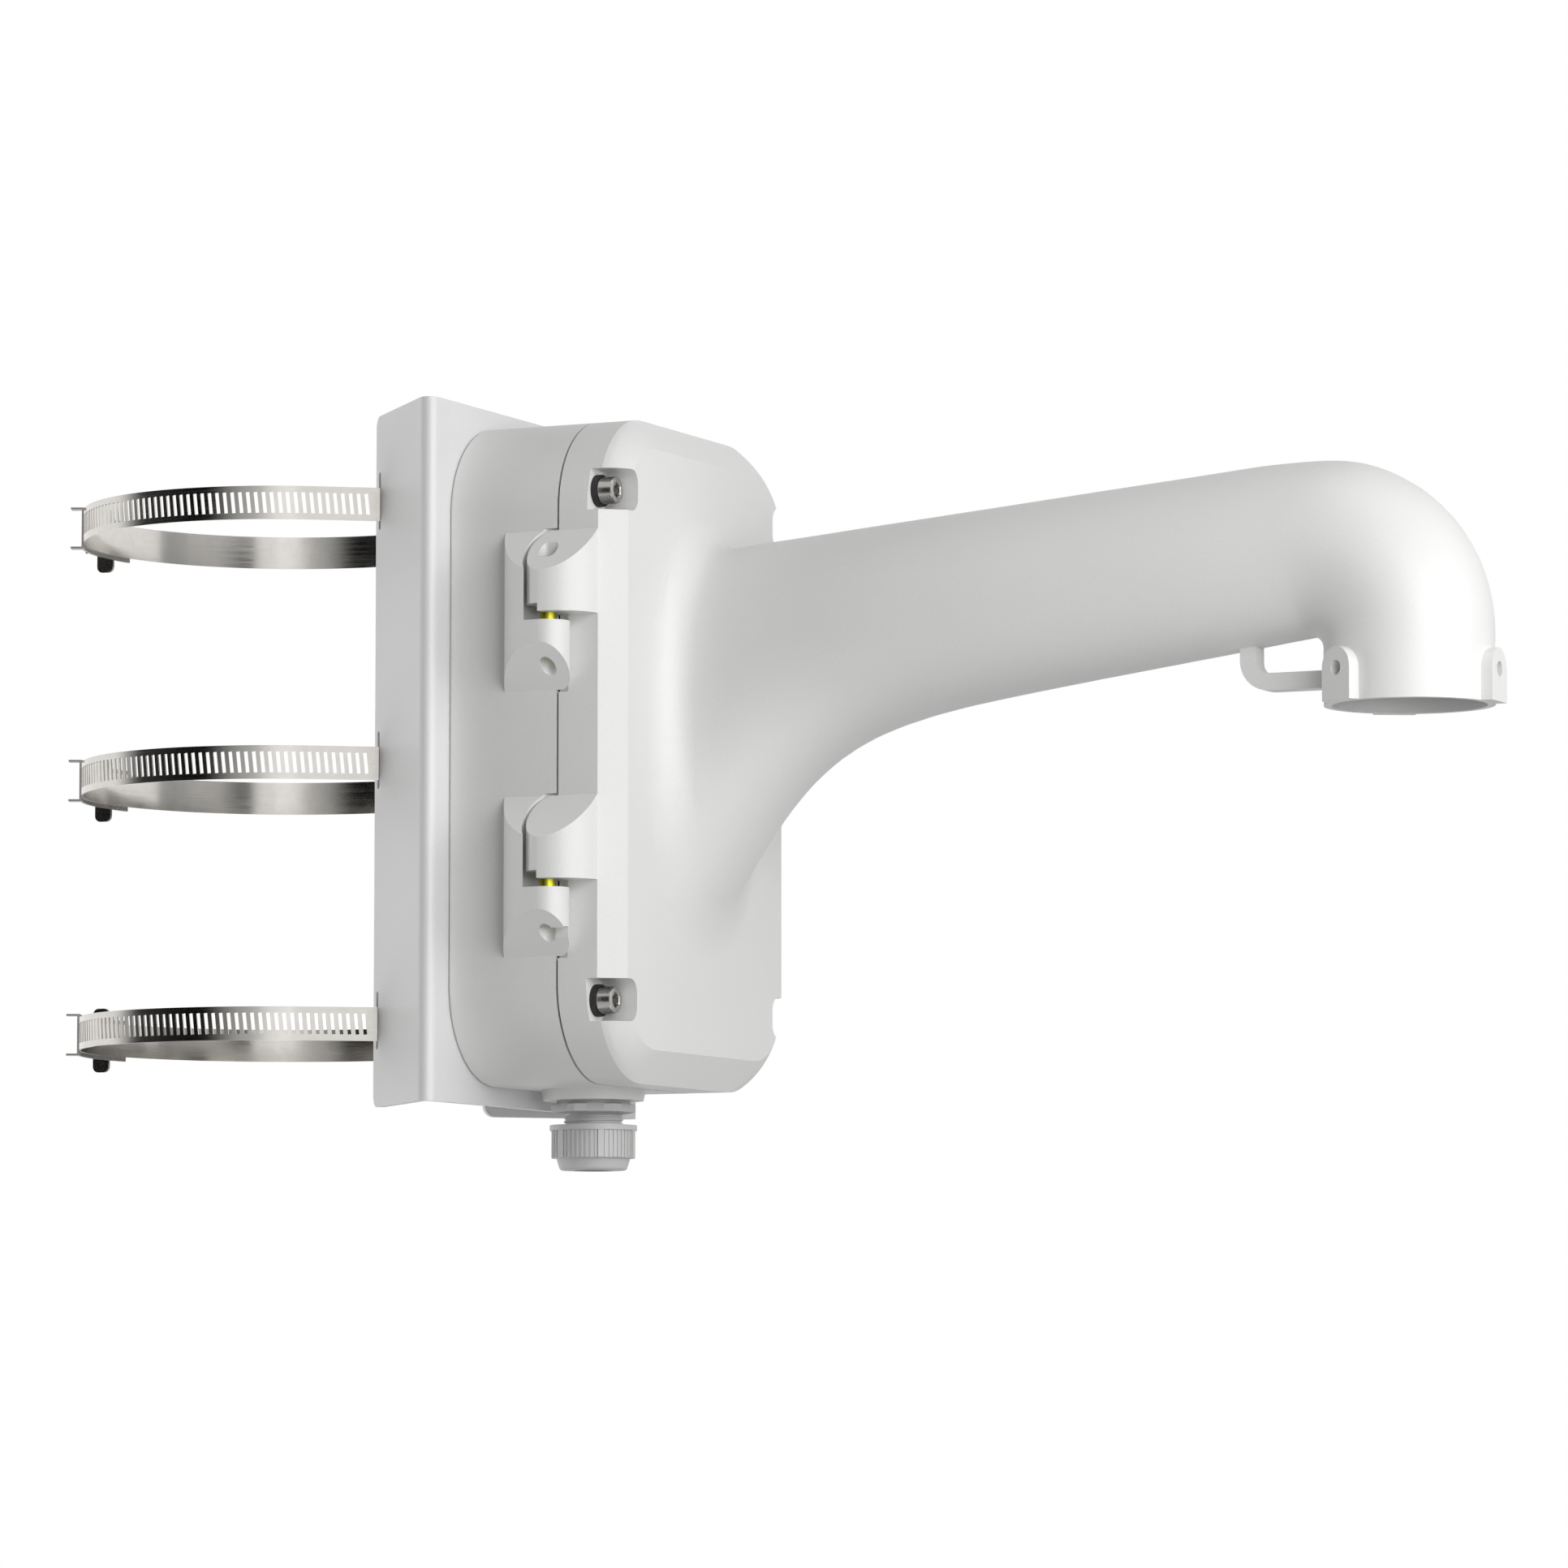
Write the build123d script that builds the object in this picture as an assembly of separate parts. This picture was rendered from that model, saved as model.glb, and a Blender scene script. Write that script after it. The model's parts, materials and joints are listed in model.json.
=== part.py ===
"""Pole mount bracket for a dome camera.

A folded steel plate is strapped to a pole by three worm-drive band clamps.
A cast junction box is bolted to the plate. Its lid is hinged on two pins,
carries the hollow arm that the camera hangs from, and is shut by four screws.

Frame: the origin is on the pole's axis, half-way up the plate. +X points
along the arm, away from the pole, and +Z is up the pole. Pieces are drawn
from the front face of the plate, x = 0 there, and moved to the pole's axis
when they are written. Millimetres.
"""

import os
from math import acos, atan2, cos, degrees, exp, pi, radians, sin, sqrt

from build123d import *

# Pole plate: one folded sheet
plate_height = 262.0
plate_width = 182.0  # between the two bend lines, taken as sharp corners
sheet = 3.0
wing_length = 66.3
wing_angle = 45.0  # between each wing and the plate
bend_inside_radius = 0.6
wing_corner_radius = 4.5
band_slot_width = 3.0
band_slot_height = 22.0
band_slot_from_edge = 4.8

# Junction box: rear shell and lid
box_width = 146.0
box_height = 248.0
box_corner_radius = 36.0
shell_depth = 44.8
shell_floor = 5.0
wall = 4.0
rim_gap = 1.0  # the dark line between shell and lid
lid_side_depth = 16.2
lid_bevel_depth = 9.0
lid_bevel_side = 7.0
lid_bevel_end = 12.0
lid_middle_radius = 26.0  # corner of the outline half-way up the bevel
lid_front_radius = 24.0
lid_front_wall = 4.0
edge_round = 1.5

# Lid gasket
gasket_inset = 1.3
gasket_squeeze_gap = 0.1

# Hinges
hinge_spacing = 98.5  # between the two hinges' centres
hinge_lift = 0.7  # of the pair above the box's centre
hinge_half_length = 29.7
hinge_split = 1.9  # the lid's knuckle starts this far below the hinge's centre
hinge_knuckle_gap = 3.1
hinge_axis_from_side = 7.6
hinge_past_shell = 0.6
hinge_barrel_radius = 8.0
hinge_swing_gap = 0.8
hinge_leaf_gap = 1.7  # wider in the shell, so that the lid can swing a right angle
hinge_pin_radius = 3.0
hinge_pin_gap = 0.05
hinge_pin_top = 12.0  # above the hinge's centre
hinge_slope = 1.05  # rise of the sloping knuckle ends for each mm outwards
shell_knuckle_arc = 23.2
lid_knuckle_arc = 16.6
hinge_pad = 6.5
pin_pocket_length = 7.2
pin_pocket_width = 5.8
pin_pocket_corner = 2.4
pin_pocket_depth = 4.0
knuckle_slot = 3.4
knuckle_slot_depth = 0.5
stop_notch_width = 7.4
stop_notch_height = 3.0

# Lid screws: M6 socket heads on black seals
lid_screw_radius = 3.0
lid_screw_head_radius = 5.0
lid_screw_head_height = 6.0
lid_screw_hex = 5.0
lid_screw_from_side = 8.5
lid_screw_from_end = 29.5
lid_screw_tip = 2.6  # how far the captive screw enters the shell
screw_hole_gap = 0.6
screw_seal_radius = 6.0
screw_seal_height = 2.2
screw_pocket_width = 15.7
screw_pocket_wall = 4.0
screw_pocket_depth = 13.5
screw_pocket_reach = 14.9  # in from the side of the lid
boss_radius = 8.0

# Bolts between the box and the plate: M8
bolt_radius = 4.0
bolt_hole_radius = 4.5
bolt_y = 42.0
bolt_z = 72.0
bolt_head_flat = 13.0
bolt_head_height = 5.3
bolt_washer_radius = 8.0
bolt_washer = 1.6
bolt_nut_height = 6.8
bolt_tail = 3.0
pad_height = 2.0

# Arm
arm_slope = 5.0  # degrees, of the top line
arm_top = 77.6  # height of the top line where it meets the lid's front
arm_bottom_slope = 7.5
arm_bottom = 1.8  # height of the straight bottom line at the lid's front
arm_root_width = 36.3  # half width behind the fillet
arm_root_fillet = 10.0
keel_depth = 64.0
keel_length = 34.4
keel_power = 1.3
arm_root_power = 2.35  # roundness of the oval, 2 is an ellipse
arm_wall = 4.0
elbow_outer_radius = 63.3
elbow_outer_height = 35.2  # of the centre of the elbow's outer curve
elbow_inner_radius = 6.0
outlet_radius = 30.9
outlet_bore_radius = 28.0
outlet_x = 352.5
outlet_rim_height = 7.7
outlet_collar_top = 27.9
outlet_step = 0.15  # the collar stands this much proud of the elbow

# Outlet lugs and the safety-rope eye
lug_count = 3
lug_face_radius = 34.3
lug_width = 15.4
lug_hole_height = 19.4
lug_hole_radius = 2.75
eye_bar = 6.0
eye_thickness = 8.8
eye_x = 288.7
eye_rail_height = 6.3
eye_rail_bottom = 15.2
eye_outer_radius = 11.0
eye_inner_radius = 4.5

# Cable gland
gland_x = 23.7
gland_boss_radius = 20.1
gland_boss_taper = 1.1
gland_boss_height = 4.0
gland_hole_radius = 11.4
gland_thread_radius = 11.2
gland_bore_radius = 8.5
gland_gasket = 1.0
gland_hex_flat = 27.7
gland_hex_height = 3.9
gland_neck = 4.4
gland_nut_collar_radius = 16.5
gland_nut_collar = 2.0
gland_nut_radius = 15.5
gland_nut_bar = 0.45
gland_nut_body = 10.4
gland_nut_nose = 4.6
gland_nose_radius = 14.0
gland_nose_end_radius = 12.6
gland_nut_gap = 0.1
gland_cable_radius = 7.5
gland_seal_cable_radius = 6.5
gland_nut_bars = 6
gland_nut_ribs = 8  # fine ribs between two bars
locknut_height = 4.5
locknut_flat = 28.0

# Band clamps
pole_radius = 77.6
band_thickness = 0.7
band_height = 12.7
band_spacing = 98.5
band_drop = 1.3  # the bands hang this far below the middles of their slots
perforation_pitch = 3.0
perforation_width = 1.4
perforation_height = 8.0
perforation_tilt = 6.0

# Screw housings of the clamps, placed by their angle round the pole
saddle_start = 171.0
saddle_end = 207.0
saddle_height = 16.0
saddle_thickness = 1.0
ear_thickness = 0.7
ear_height = 5.2  # above the band
ear_length = 5.0
worm_angle = 181.5
worm_radius = 3.2
worm_length = 10.5
worm_neck_radius = 2.0
worm_gap = 0.25
worm_head_flat = 6.0
worm_head_height = 3.6
worm_slot = 0.9
worm_slot_depth = 1.5
bearing_thickness = 1.2
bearing_width = 12.4
bearing_height = 6.9
end_plate_height = 25.0
end_plate_depth = 7.0
end_plate_centre = 5.0  # above the band
end_plate_corner = 2.3

# Worked out from the sizes above
half_plate = plate_width / 2
wing_dx = wing_length * cos(radians(wing_angle))
wing_dy = wing_length * sin(radians(wing_angle))
wing_edge_y = half_plate - wing_dy
pole_x = -wing_dx - sqrt(pole_radius**2 - wing_edge_y**2)
side_y = box_width / 2
rim_x = shell_depth + rim_gap
lid_edge_x = rim_x + lid_side_depth
front_x = lid_edge_x + lid_bevel_depth
hinge_x = shell_depth + hinge_past_shell
hinge_y = -side_y - hinge_axis_from_side
hinge_reach = hinge_y - hinge_barrel_radius  # the outermost line of a knuckle
box_bottom = -box_height / 2
pocket_floor_x = front_x - screw_pocket_depth
lid_screw_y = side_y - lid_screw_from_side
lid_screw_z = box_height / 2 - lid_screw_from_end
screw_places = [(y, z) for y in (-lid_screw_y, lid_screw_y) for z in (-lid_screw_z, lid_screw_z)]
bolt_places = [(y, z) for y in (-bolt_y, bolt_y) for z in (-bolt_z, bolt_z)]
hinge_places = (hinge_lift + hinge_spacing / 2, hinge_lift - hinge_spacing / 2)
elbow_outer_x = outlet_x + outlet_radius - elbow_outer_radius
elbow_inner_x = outlet_x - outlet_radius - elbow_inner_radius
worm_axis_height = worm_gap + worm_radius  # above the band
worm_neck_end = worm_length / 2 + bearing_thickness + 2 * worm_gap  # from the worm's middle
worm_head_radius = worm_head_flat / 2 / cos(pi / 6)


def rod_x(radius, x0, x1, y=0.0, z=0.0):
    """A cylinder along X from x0 to x1."""
    return Plane.YZ.offset(x0) * Pos(y, z) * extrude(Circle(radius), x1 - x0)


def rod_z(radius, z0, z1, x=0.0, y=0.0):
    """A cylinder along Z from z0 to z1."""
    return Pos(x, y, z0) * extrude(Circle(radius), z1 - z0)


def hex_x(flat, x0, x1, y, z):
    """A hexagonal prism along X."""
    outline = RegularPolygon(flat / 2, 6, major_radius=False)
    return Plane.YZ.offset(x0) * Pos(y, z) * extrude(outline, x1 - x0)


def block(x0, x1, y0, y1, z0, z1):
    """A box between two corners."""
    return Pos((x0 + x1) / 2, (y0 + y1) / 2, (z0 + z1) / 2) * Box(x1 - x0, y1 - y0, z1 - z0)


def box_outline(inset, x, radius=box_corner_radius):
    """The junction box's outline, drawn in by inset, at x."""
    outline = RectangleRounded(box_width - 2 * inset, box_height - 2 * inset, radius - inset)
    return Plane.YZ.offset(x) * outline


# Pole plate

def make_pole_plate():
    """The plate with its two wings folded back, six band slots and four bolt holes."""
    mitre = sheet / sin(radians(wing_angle / 2)) * cos(radians(wing_angle / 2))
    step_x = sheet * sin(radians(wing_angle))
    step_y = sheet * cos(radians(wing_angle))
    upper = [
        (-wing_dx, wing_edge_y),
        (0, half_plate),
    ]
    inner = [
        (-sheet, half_plate - mitre),
        (-wing_dx + step_x, wing_edge_y - step_y),
    ]
    outline = (
        upper
        + [(x, -y) for x, y in reversed(upper)]
        + [(x, -y) for x, y in reversed(inner)]
        + inner
    )
    profile = make_face(Polyline(*outline, close=True))
    outer_bends = profile.vertices().filter_by(lambda v: abs(v.X) < 1e-6)
    profile = fillet(outer_bends, bend_inside_radius + sheet)
    inner_bends = profile.vertices().filter_by(
        lambda v: abs(v.X + sheet) < 1e-6 and abs(abs(v.Y) - half_plate + mitre) < 1e-3
    )
    profile = fillet(inner_bends, bend_inside_radius)
    plate = Pos(0, 0, -plate_height / 2) * extrude(profile, plate_height)
    corners = plate.edges().filter_by(
        lambda e: abs(e.length - sheet) < 1e-3 and e.center().X < -wing_dx / 2
    )
    plate = fillet(corners, wing_corner_radius)
    for y_side in (-1, 1):
        for z in (-band_spacing, 0, band_spacing):
            x, y = slot_place()
            across = (-sin(radians(wing_angle)), y_side * cos(radians(wing_angle)), 0)
            face = Plane(origin=(x, y_side * y, z), x_dir=(0, 0, 1), z_dir=across)
            slot = SlotOverall(band_slot_height, band_slot_width)
            plate -= face * extrude(slot, 2 * sheet, both=True)
    for y, z in bolt_places:
        plate -= rod_x(bolt_hole_radius, -2 * sheet, sheet, y, z)
    return plate


def slot_place():
    """Centre of a band slot, half-way through the wing's sheet, on the +Y side."""
    along = band_slot_from_edge
    x = -wing_dx + along * cos(radians(wing_angle)) + sheet / 2 * sin(radians(wing_angle))
    y = wing_edge_y + along * sin(radians(wing_angle)) - sheet / 2 * cos(radians(wing_angle))
    return x, y


# Junction box

def corner_pads(x0, x1):
    """The four solid corners that the lid screws pass through."""
    inner_y = side_y - screw_pocket_reach - screw_pocket_wall
    half = screw_pocket_width / 2 + screw_pocket_wall
    pads = []
    for y, z in screw_places:
        low, high = sorted((inner_y, side_y))
        y0, y1 = (low, high) if y > 0 else (-high, -low)
        pads.append(block(x0, x1, y0, y1, z - half, z + half))
    return pads


def hinge_pads(x0, x1):
    """The thick wall behind each hinge, which leaves room for the knuckles."""
    half = hinge_half_length + wall
    return [
        block(x0, x1, -side_y, -side_y + hinge_pad, z - half, z + half) for z in hinge_places
    ]


def knuckle_envelope(z):
    """What a hinge may fill: a long block whose two ends slope in towards its outside."""
    rise = -(side_y + hinge_reach) * hinge_slope
    half = hinge_half_length
    inner = -side_y + hinge_pad
    points = [
        (inner, -half),
        (-side_y, -half),
        (hinge_reach, -half + rise),
        (hinge_reach, half - rise),
        (-side_y, half),
        (inner, half),
    ]
    side = make_face(Polyline(*[(y, z + h) for y, h in points], close=True))
    return extrude(Plane.YZ.offset(-1) * side, front_x + 2)


def knuckle_profile(radius, towards):
    """Plan of a knuckle: its barrel and a long flank that runs into the box's side."""
    centre_y = hinge_reach + radius
    flank = Pos(hinge_x, centre_y) * Circle(radius)
    keep = Pos(hinge_x + towards * radius / 2, hinge_reach / 2 + centre_y / 2)
    flank &= keep * Rectangle(radius, centre_y - hinge_reach)
    barrel = Pos(hinge_x, hinge_y) * Circle(hinge_barrel_radius)
    return flank, barrel


def beside_box(x0, x1):
    """Plan of what lies inside the hinge barrels' inner side, from x0 to x1."""
    y0 = hinge_y + hinge_barrel_radius
    return Pos((x0 + x1) / 2, y0 + box_width / 2) * Rectangle(x1 - x0, box_width)


def make_rear_shell():
    """The cast box half that is bolted to the plate, with two hinge knuckles and the gland boss."""
    shell = extrude(box_outline(0, 0), shell_depth)
    shell = fillet(shell.faces().sort_by(Axis.X)[0].edges(), edge_round)
    cavity = extrude(box_outline(wall, shell_floor), shell_depth)
    keep = [rod_x(boss_radius, 0, shell_depth, y, z) for y, z in screw_places]
    keep += hinge_pads(0, shell_depth)
    keep += [rod_x(bolt_washer_radius + 1, 0, shell_floor + pad_height, y, z) for y, z in bolt_places]
    for piece in keep:
        cavity -= piece
    shell -= cavity
    for z in hinge_places:
        envelope = knuckle_envelope(z)
        flank, barrel = knuckle_profile(shell_knuckle_arc, -1)
        flank -= beside_box(shell_depth, box_width)
        low = z - hinge_half_length
        high = z + hinge_half_length
        top = z - hinge_split - hinge_knuckle_gap
        shell += Pos(0, 0, low) * extrude(flank, high - low) & envelope
        shell -= rod_z(hinge_barrel_radius + hinge_leaf_gap, top, high + hinge_swing_gap, hinge_x, hinge_y)
        shell += Pos(0, 0, low) * extrude(barrel, top - low) & envelope
        shell -= rod_z(hinge_pin_radius + hinge_pin_gap, low, top, hinge_x, hinge_y)
    lower = hinge_places[1] - hinge_half_length
    slot_top = lower + hinge_slope * (hinge_axis_from_side + knuckle_slot / 2) + knuckle_slot_depth
    reach = hinge_x + hinge_barrel_radius + 1
    half_slot = knuckle_slot / 2
    shell -= block(hinge_x, reach, hinge_y - half_slot, hinge_y + half_slot, lower - 1, slot_top)
    boss = Pos(gland_x, 0, box_bottom + wall / 2) * Rot(180, 0, 0) * loft(
        [
            Circle(gland_boss_radius),
            Pos(0, 0, wall / 2 + gland_boss_height) * Circle(gland_boss_radius - gland_boss_taper),
        ]
    )
    shell += boss
    shell -= rod_z(gland_hole_radius, box_bottom - 2 * gland_boss_height, box_bottom + 2 * wall, gland_x)
    for y, z in screw_places:
        shell -= rod_x(lid_screw_radius + screw_hole_gap, shell_depth - lid_screw_tip - 1, shell_depth, y, z)
        shell -= rod_x(lid_screw_radius - 0.5, shell_floor + 3, shell_depth, y, z)
    for y, z in bolt_places:
        shell -= rod_x(bolt_hole_radius, -1, 2 * shell_floor, y, z)
    return shell


def lid_solid(inset, x0):
    """The lid's outline with its bevelled front, drawn in by inset."""
    side = extrude(box_outline(inset, x0), lid_edge_x - inset / 2 - x0)
    outlines = [box_outline(inset, lid_edge_x - inset / 2)]
    for share, radius in ((0.5, lid_middle_radius), (1, lid_front_radius)):
        width = box_width - 2 * (share * lid_bevel_side + inset)
        height = box_height - 2 * (share * lid_bevel_end + inset)
        x = lid_edge_x + share * lid_bevel_depth - inset / 2 * (1 + share)
        outlines.append(Plane.YZ.offset(x) * RectangleRounded(width, height, radius - inset))
    return side + loft(outlines)


def arm_section(x, spread, inset):
    """Closed outline of the arm at x in front of the lid, in a vertical plane."""
    run = x - front_x
    top = arm_top + run * sin(radians(arm_slope)) / cos(radians(arm_slope)) + spread
    straight = arm_bottom + run * sin(radians(arm_bottom_slope)) / cos(radians(arm_bottom_slope))
    bottom = straight - keel_depth * exp(-((max(run, 0) / keel_length) ** keel_power))
    far_run = elbow_outer_x - front_x
    share = min(max(run, 0) / far_run, 1)
    half_width = arm_root_width + (outlet_radius - arm_root_width) * share + spread
    power = 2 + (arm_root_power - 2) * exp(-max(run, 0) / keel_length)
    plane = Plane(origin=(x, 0, (top + bottom) / 2), x_dir=(0, 1, 0), z_dir=(1, 0, 0))
    return oval(plane, half_width - inset, (top - bottom) / 2 - inset, power)


def oval(plane, half_width, half_height, power):
    """A closed curve between an ellipse, power 2, and a rounded rectangle."""
    points = []
    for i in range(16):
        t = 2 * pi * i / 16
        c, s = cos(t), sin(t)
        y = half_width * abs(c) ** (2 / power) * (1 if c >= 0 else -1)
        z = half_height * abs(s) ** (2 / power) * (1 if s >= 0 else -1)
        points.append(plane.from_local_coords((y, z, 0)))
    return make_face(Spline(*points, periodic=True))


def arm_tube(inset, start_x):
    """The arm from the lid and round the elbow, as one smooth tube."""
    sections = [arm_section(start_x, arm_root_fillet, inset)]
    steps = 4
    for i in range(steps + 1):
        t = pi / 2 * i / steps
        run = arm_root_fillet * (1 - cos(t))
        sections.append(arm_section(front_x + run, arm_root_fillet * (1 - sin(t)), inset))
    for share in (0.09, 0.16, 0.24, 0.34, 0.5, 0.7, 0.86):
        sections.append(arm_section(front_x + share * (elbow_outer_x - front_x), 0, inset))
    around = inset + outlet_step
    turns = 6
    for i in range(turns):
        outer = radians((90 + arm_slope) * (1 - i / turns))
        inner = radians((90 + arm_bottom_slope) * (1 - i / turns))
        x0 = elbow_inner_x + elbow_inner_radius * cos(inner)
        z0 = outlet_collar_top + elbow_inner_radius * sin(inner)
        x1 = elbow_outer_x + elbow_outer_radius * cos(outer)
        z1 = elbow_outer_height + elbow_outer_radius * sin(outer)
        plane = Plane(
            origin=((x0 + x1) / 2, 0, (z0 + z1) / 2), x_dir=(0, 1, 0), z_dir=(z1 - z0, 0, x0 - x1)
        )
        half = sqrt((x1 - x0) ** 2 + (z1 - z0) ** 2) / 2
        sections.append(oval(plane, outlet_radius - around, half - around, 2))
    plane = Plane(origin=(outlet_x, 0, outlet_collar_top), x_dir=(0, 1, 0), z_dir=(0, 0, -1))
    sections.append(oval(plane, outlet_radius - around, outlet_radius - around, 2))
    return loft(sections)


def outlet_lug(angle):
    """A flat-faced lug with a round top, for one of the screws that grip the camera's neck."""
    top = lug_hole_height
    half = lug_width / 2
    outline = Pos(0, (top + outlet_rim_height) / 2) * Rectangle(lug_width, top - outlet_rim_height)
    outline += Pos(0, top) * Circle(half)
    depth = lug_face_radius - outlet_bore_radius
    pad = Plane.YZ.offset(outlet_bore_radius) * extrude(outline, depth)
    return Pos(outlet_x, 0, 0) * Rot(0, 0, angle) * pad


def safety_eye():
    """The eye under the arm that the camera's safety rope is clipped to."""
    right = outlet_x - outlet_radius + wall / 2
    top = outlet_collar_top + 2 * wall
    outer = Pos((eye_x + right) / 2, (eye_rail_bottom + top) / 2) * Rectangle(
        right - eye_x, top - eye_rail_bottom
    )
    corner = outer.vertices().sort_by_distance((eye_x, eye_rail_bottom))[0]
    outer = fillet(corner, eye_outer_radius)
    left = eye_x + eye_bar
    low = eye_rail_bottom + eye_rail_height
    inner = Pos(left / 2 + right, low / 2 + top) * Rectangle(2 * right - left, 2 * top - low)
    corner = inner.vertices().sort_by_distance((left, low))[0]
    inner = fillet(corner, eye_inner_radius)
    frame = outer - inner
    return Plane.XZ * extrude(frame, eye_thickness / 2, both=True)


def make_lid_arm():
    """The cast lid, its two hinge knuckles, the hollow arm, the outlet, its lugs and the eye."""
    lid = lid_solid(0, rim_x)
    room = lid_solid(wall, rim_x - 1)
    for pad in corner_pads(rim_x, front_x) + hinge_pads(rim_x, front_x):
        room -= pad
    arm = arm_tube(0, front_x - lid_front_wall / 2)
    arm += rod_z(outlet_radius, outlet_rim_height, outlet_collar_top, outlet_x)
    lid += arm
    for i in range(lug_count):
        lid += outlet_lug(360 * i / lug_count)
    lid += safety_eye()
    for z in hinge_places:
        envelope = knuckle_envelope(z)
        flank, barrel = knuckle_profile(lid_knuckle_arc, 1)
        flank -= beside_box(0, rim_x)
        high = z + hinge_half_length
        low = z - hinge_split
        swing_low = z - hinge_half_length - hinge_swing_gap
        lid -= rod_z(hinge_barrel_radius + hinge_swing_gap, swing_low, low, hinge_x, hinge_y)
        knuckle = Pos(0, 0, low) * extrude(flank + barrel, high - low) & envelope
        left = hinge_x - hinge_barrel_radius
        knuckle -= block(
            left - 1, left + stop_notch_width, 2 * hinge_reach, 0, low - 1, low + stop_notch_height
        )
        lid += knuckle
        pin_end = z + hinge_pin_top + hinge_pin_gap
        lid -= rod_z(hinge_pin_radius + hinge_pin_gap, low - 1, pin_end, hinge_x, hinge_y)
    top = hinge_places[0] + hinge_half_length
    floor = top - hinge_slope * (hinge_axis_from_side + pin_pocket_width / 2) - pin_pocket_depth
    outline = RectangleRounded(pin_pocket_length, pin_pocket_width, pin_pocket_corner)
    lid -= Pos(hinge_x, hinge_y, floor) * extrude(outline, top - floor)
    lid -= room
    duct = arm_tube(arm_wall, front_x - 2 * lid_front_wall)
    duct += rod_z(outlet_bore_radius, outlet_rim_height - 1, outlet_collar_top, outlet_x)
    lid -= duct
    for i in range(lug_count):
        hole = Plane.YZ.offset(outlet_bore_radius - wall) * Pos(0, lug_hole_height)
        drill = hole * extrude(Circle(lug_hole_radius), 3 * wall)
        lid -= Pos(outlet_x, 0, 0) * Rot(0, 0, 360 * i / lug_count) * drill
    for y, z in screw_places:
        outward = 1 if y > 0 else -1
        y0 = outward * (side_y - screw_pocket_reach)
        y1 = outward * (side_y + 1)
        half = screw_pocket_width / 2
        pocket = block(pocket_floor_x, front_x + 1, min(y0, y1), max(y0, y1), z - half, z + half)
        inner = pocket.edges().filter_by(Axis.X).sort_by(lambda e: abs(e.center().Y))[0:2]
        lid -= fillet(inner, screw_pocket_width / 3)
        lid -= rod_x(lid_screw_radius + screw_hole_gap / 2, rim_x - 1, front_x, y, z)
    return lid


def make_hinge_pin(z):
    """A plain pin pressed into the shell's knuckle that the lid's knuckle turns on."""
    low = z - hinge_half_length + hinge_slope * (hinge_axis_from_side + hinge_pin_radius) + 1
    pin = rod_z(hinge_pin_radius, low, z + hinge_pin_top, hinge_x, hinge_y)
    ends = pin.edges().filter_by(GeomType.CIRCLE)
    return chamfer(ends, hinge_pin_radius / 5)


def make_lid_gasket():
    """A flat rubber ring between the rims, with pads round the screws and a step at each hinge."""
    thickness = rim_gap - gasket_squeeze_gap
    x0 = rim_x - thickness
    ring = extrude(box_outline(gasket_inset, x0), thickness)
    hole = extrude(box_outline(wall, x0 - 1), thickness + 2)
    for pad in corner_pads(x0 - 1, rim_x + 1) + hinge_pads(x0 - 1, rim_x + 1):
        hole -= pad
    ring -= hole
    reach = -hinge_reach - lid_knuckle_arc - hinge_swing_gap
    for z in hinge_places:
        half = hinge_half_length + 2 * hinge_swing_gap
        ring -= block(x0 - 1, rim_x + 1, -side_y, -reach, z - half, z + half)
    for y, z in screw_places:
        ring -= rod_x(lid_screw_radius + screw_hole_gap, x0 - 1, rim_x + 1, y, z)
    return ring


def make_lid_screws():
    """Four M6 socket-head screws, held captive in the lid."""
    screws = []
    seat = pocket_floor_x + screw_seal_height
    for y, z in screw_places:
        head = rod_x(lid_screw_head_radius, seat, seat + lid_screw_head_height, y, z)
        head = chamfer(head.edges().sort_by(Axis.X)[-1], lid_screw_head_radius / 12)
        shank = rod_x(lid_screw_radius, shell_depth - lid_screw_tip, seat, y, z)
        shank = chamfer(shank.edges().sort_by(Axis.X)[0], lid_screw_radius / 5)
        top = seat + lid_screw_head_height
        socket = hex_x(lid_screw_hex, top - lid_screw_head_height / 2, top + 1, y, z)
        screws.append(head + shank - socket)
    return screws


def make_screw_seals():
    """The black seal under each lid screw's head."""
    seals = []
    for y, z in screw_places:
        x1 = pocket_floor_x + screw_seal_height
        seal = rod_x(screw_seal_radius, pocket_floor_x, x1, y, z)
        seals.append(seal - rod_x(lid_screw_radius, pocket_floor_x - 1, x1 + 1, y, z))
    return seals


# Bolts through the plate

def make_bolts():
    """Four M8 hexagon bolts, heads inside the box."""
    bolts = []
    seat = shell_floor + pad_height + bolt_washer
    end = -sheet - bolt_washer - bolt_nut_height - bolt_tail
    for y, z in bolt_places:
        bolt = hex_x(bolt_head_flat, seat, seat + bolt_head_height, y, z)
        bolt += rod_x(bolt_radius, end, seat, y, z)
        bolts.append(bolt)
    return bolts


def make_washers(x0):
    """Four flat washers whose back face is at x0."""
    ring = []
    for y, z in bolt_places:
        washer = rod_x(bolt_washer_radius, x0, x0 + bolt_washer, y, z)
        ring.append(washer - rod_x(bolt_radius, x0 - 1, x0 + bolt_washer + 1, y, z))
    return ring


def make_bolt_nuts():
    """Four M8 nuts behind the plate."""
    nuts = []
    x1 = -sheet - bolt_washer
    for y, z in bolt_places:
        nut = hex_x(bolt_head_flat, x1 - bolt_nut_height, x1, y, z)
        nuts.append(nut - rod_x(bolt_radius, x1 - bolt_nut_height - 1, x1 + 1, y, z))
    return nuts


# Cable gland

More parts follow.
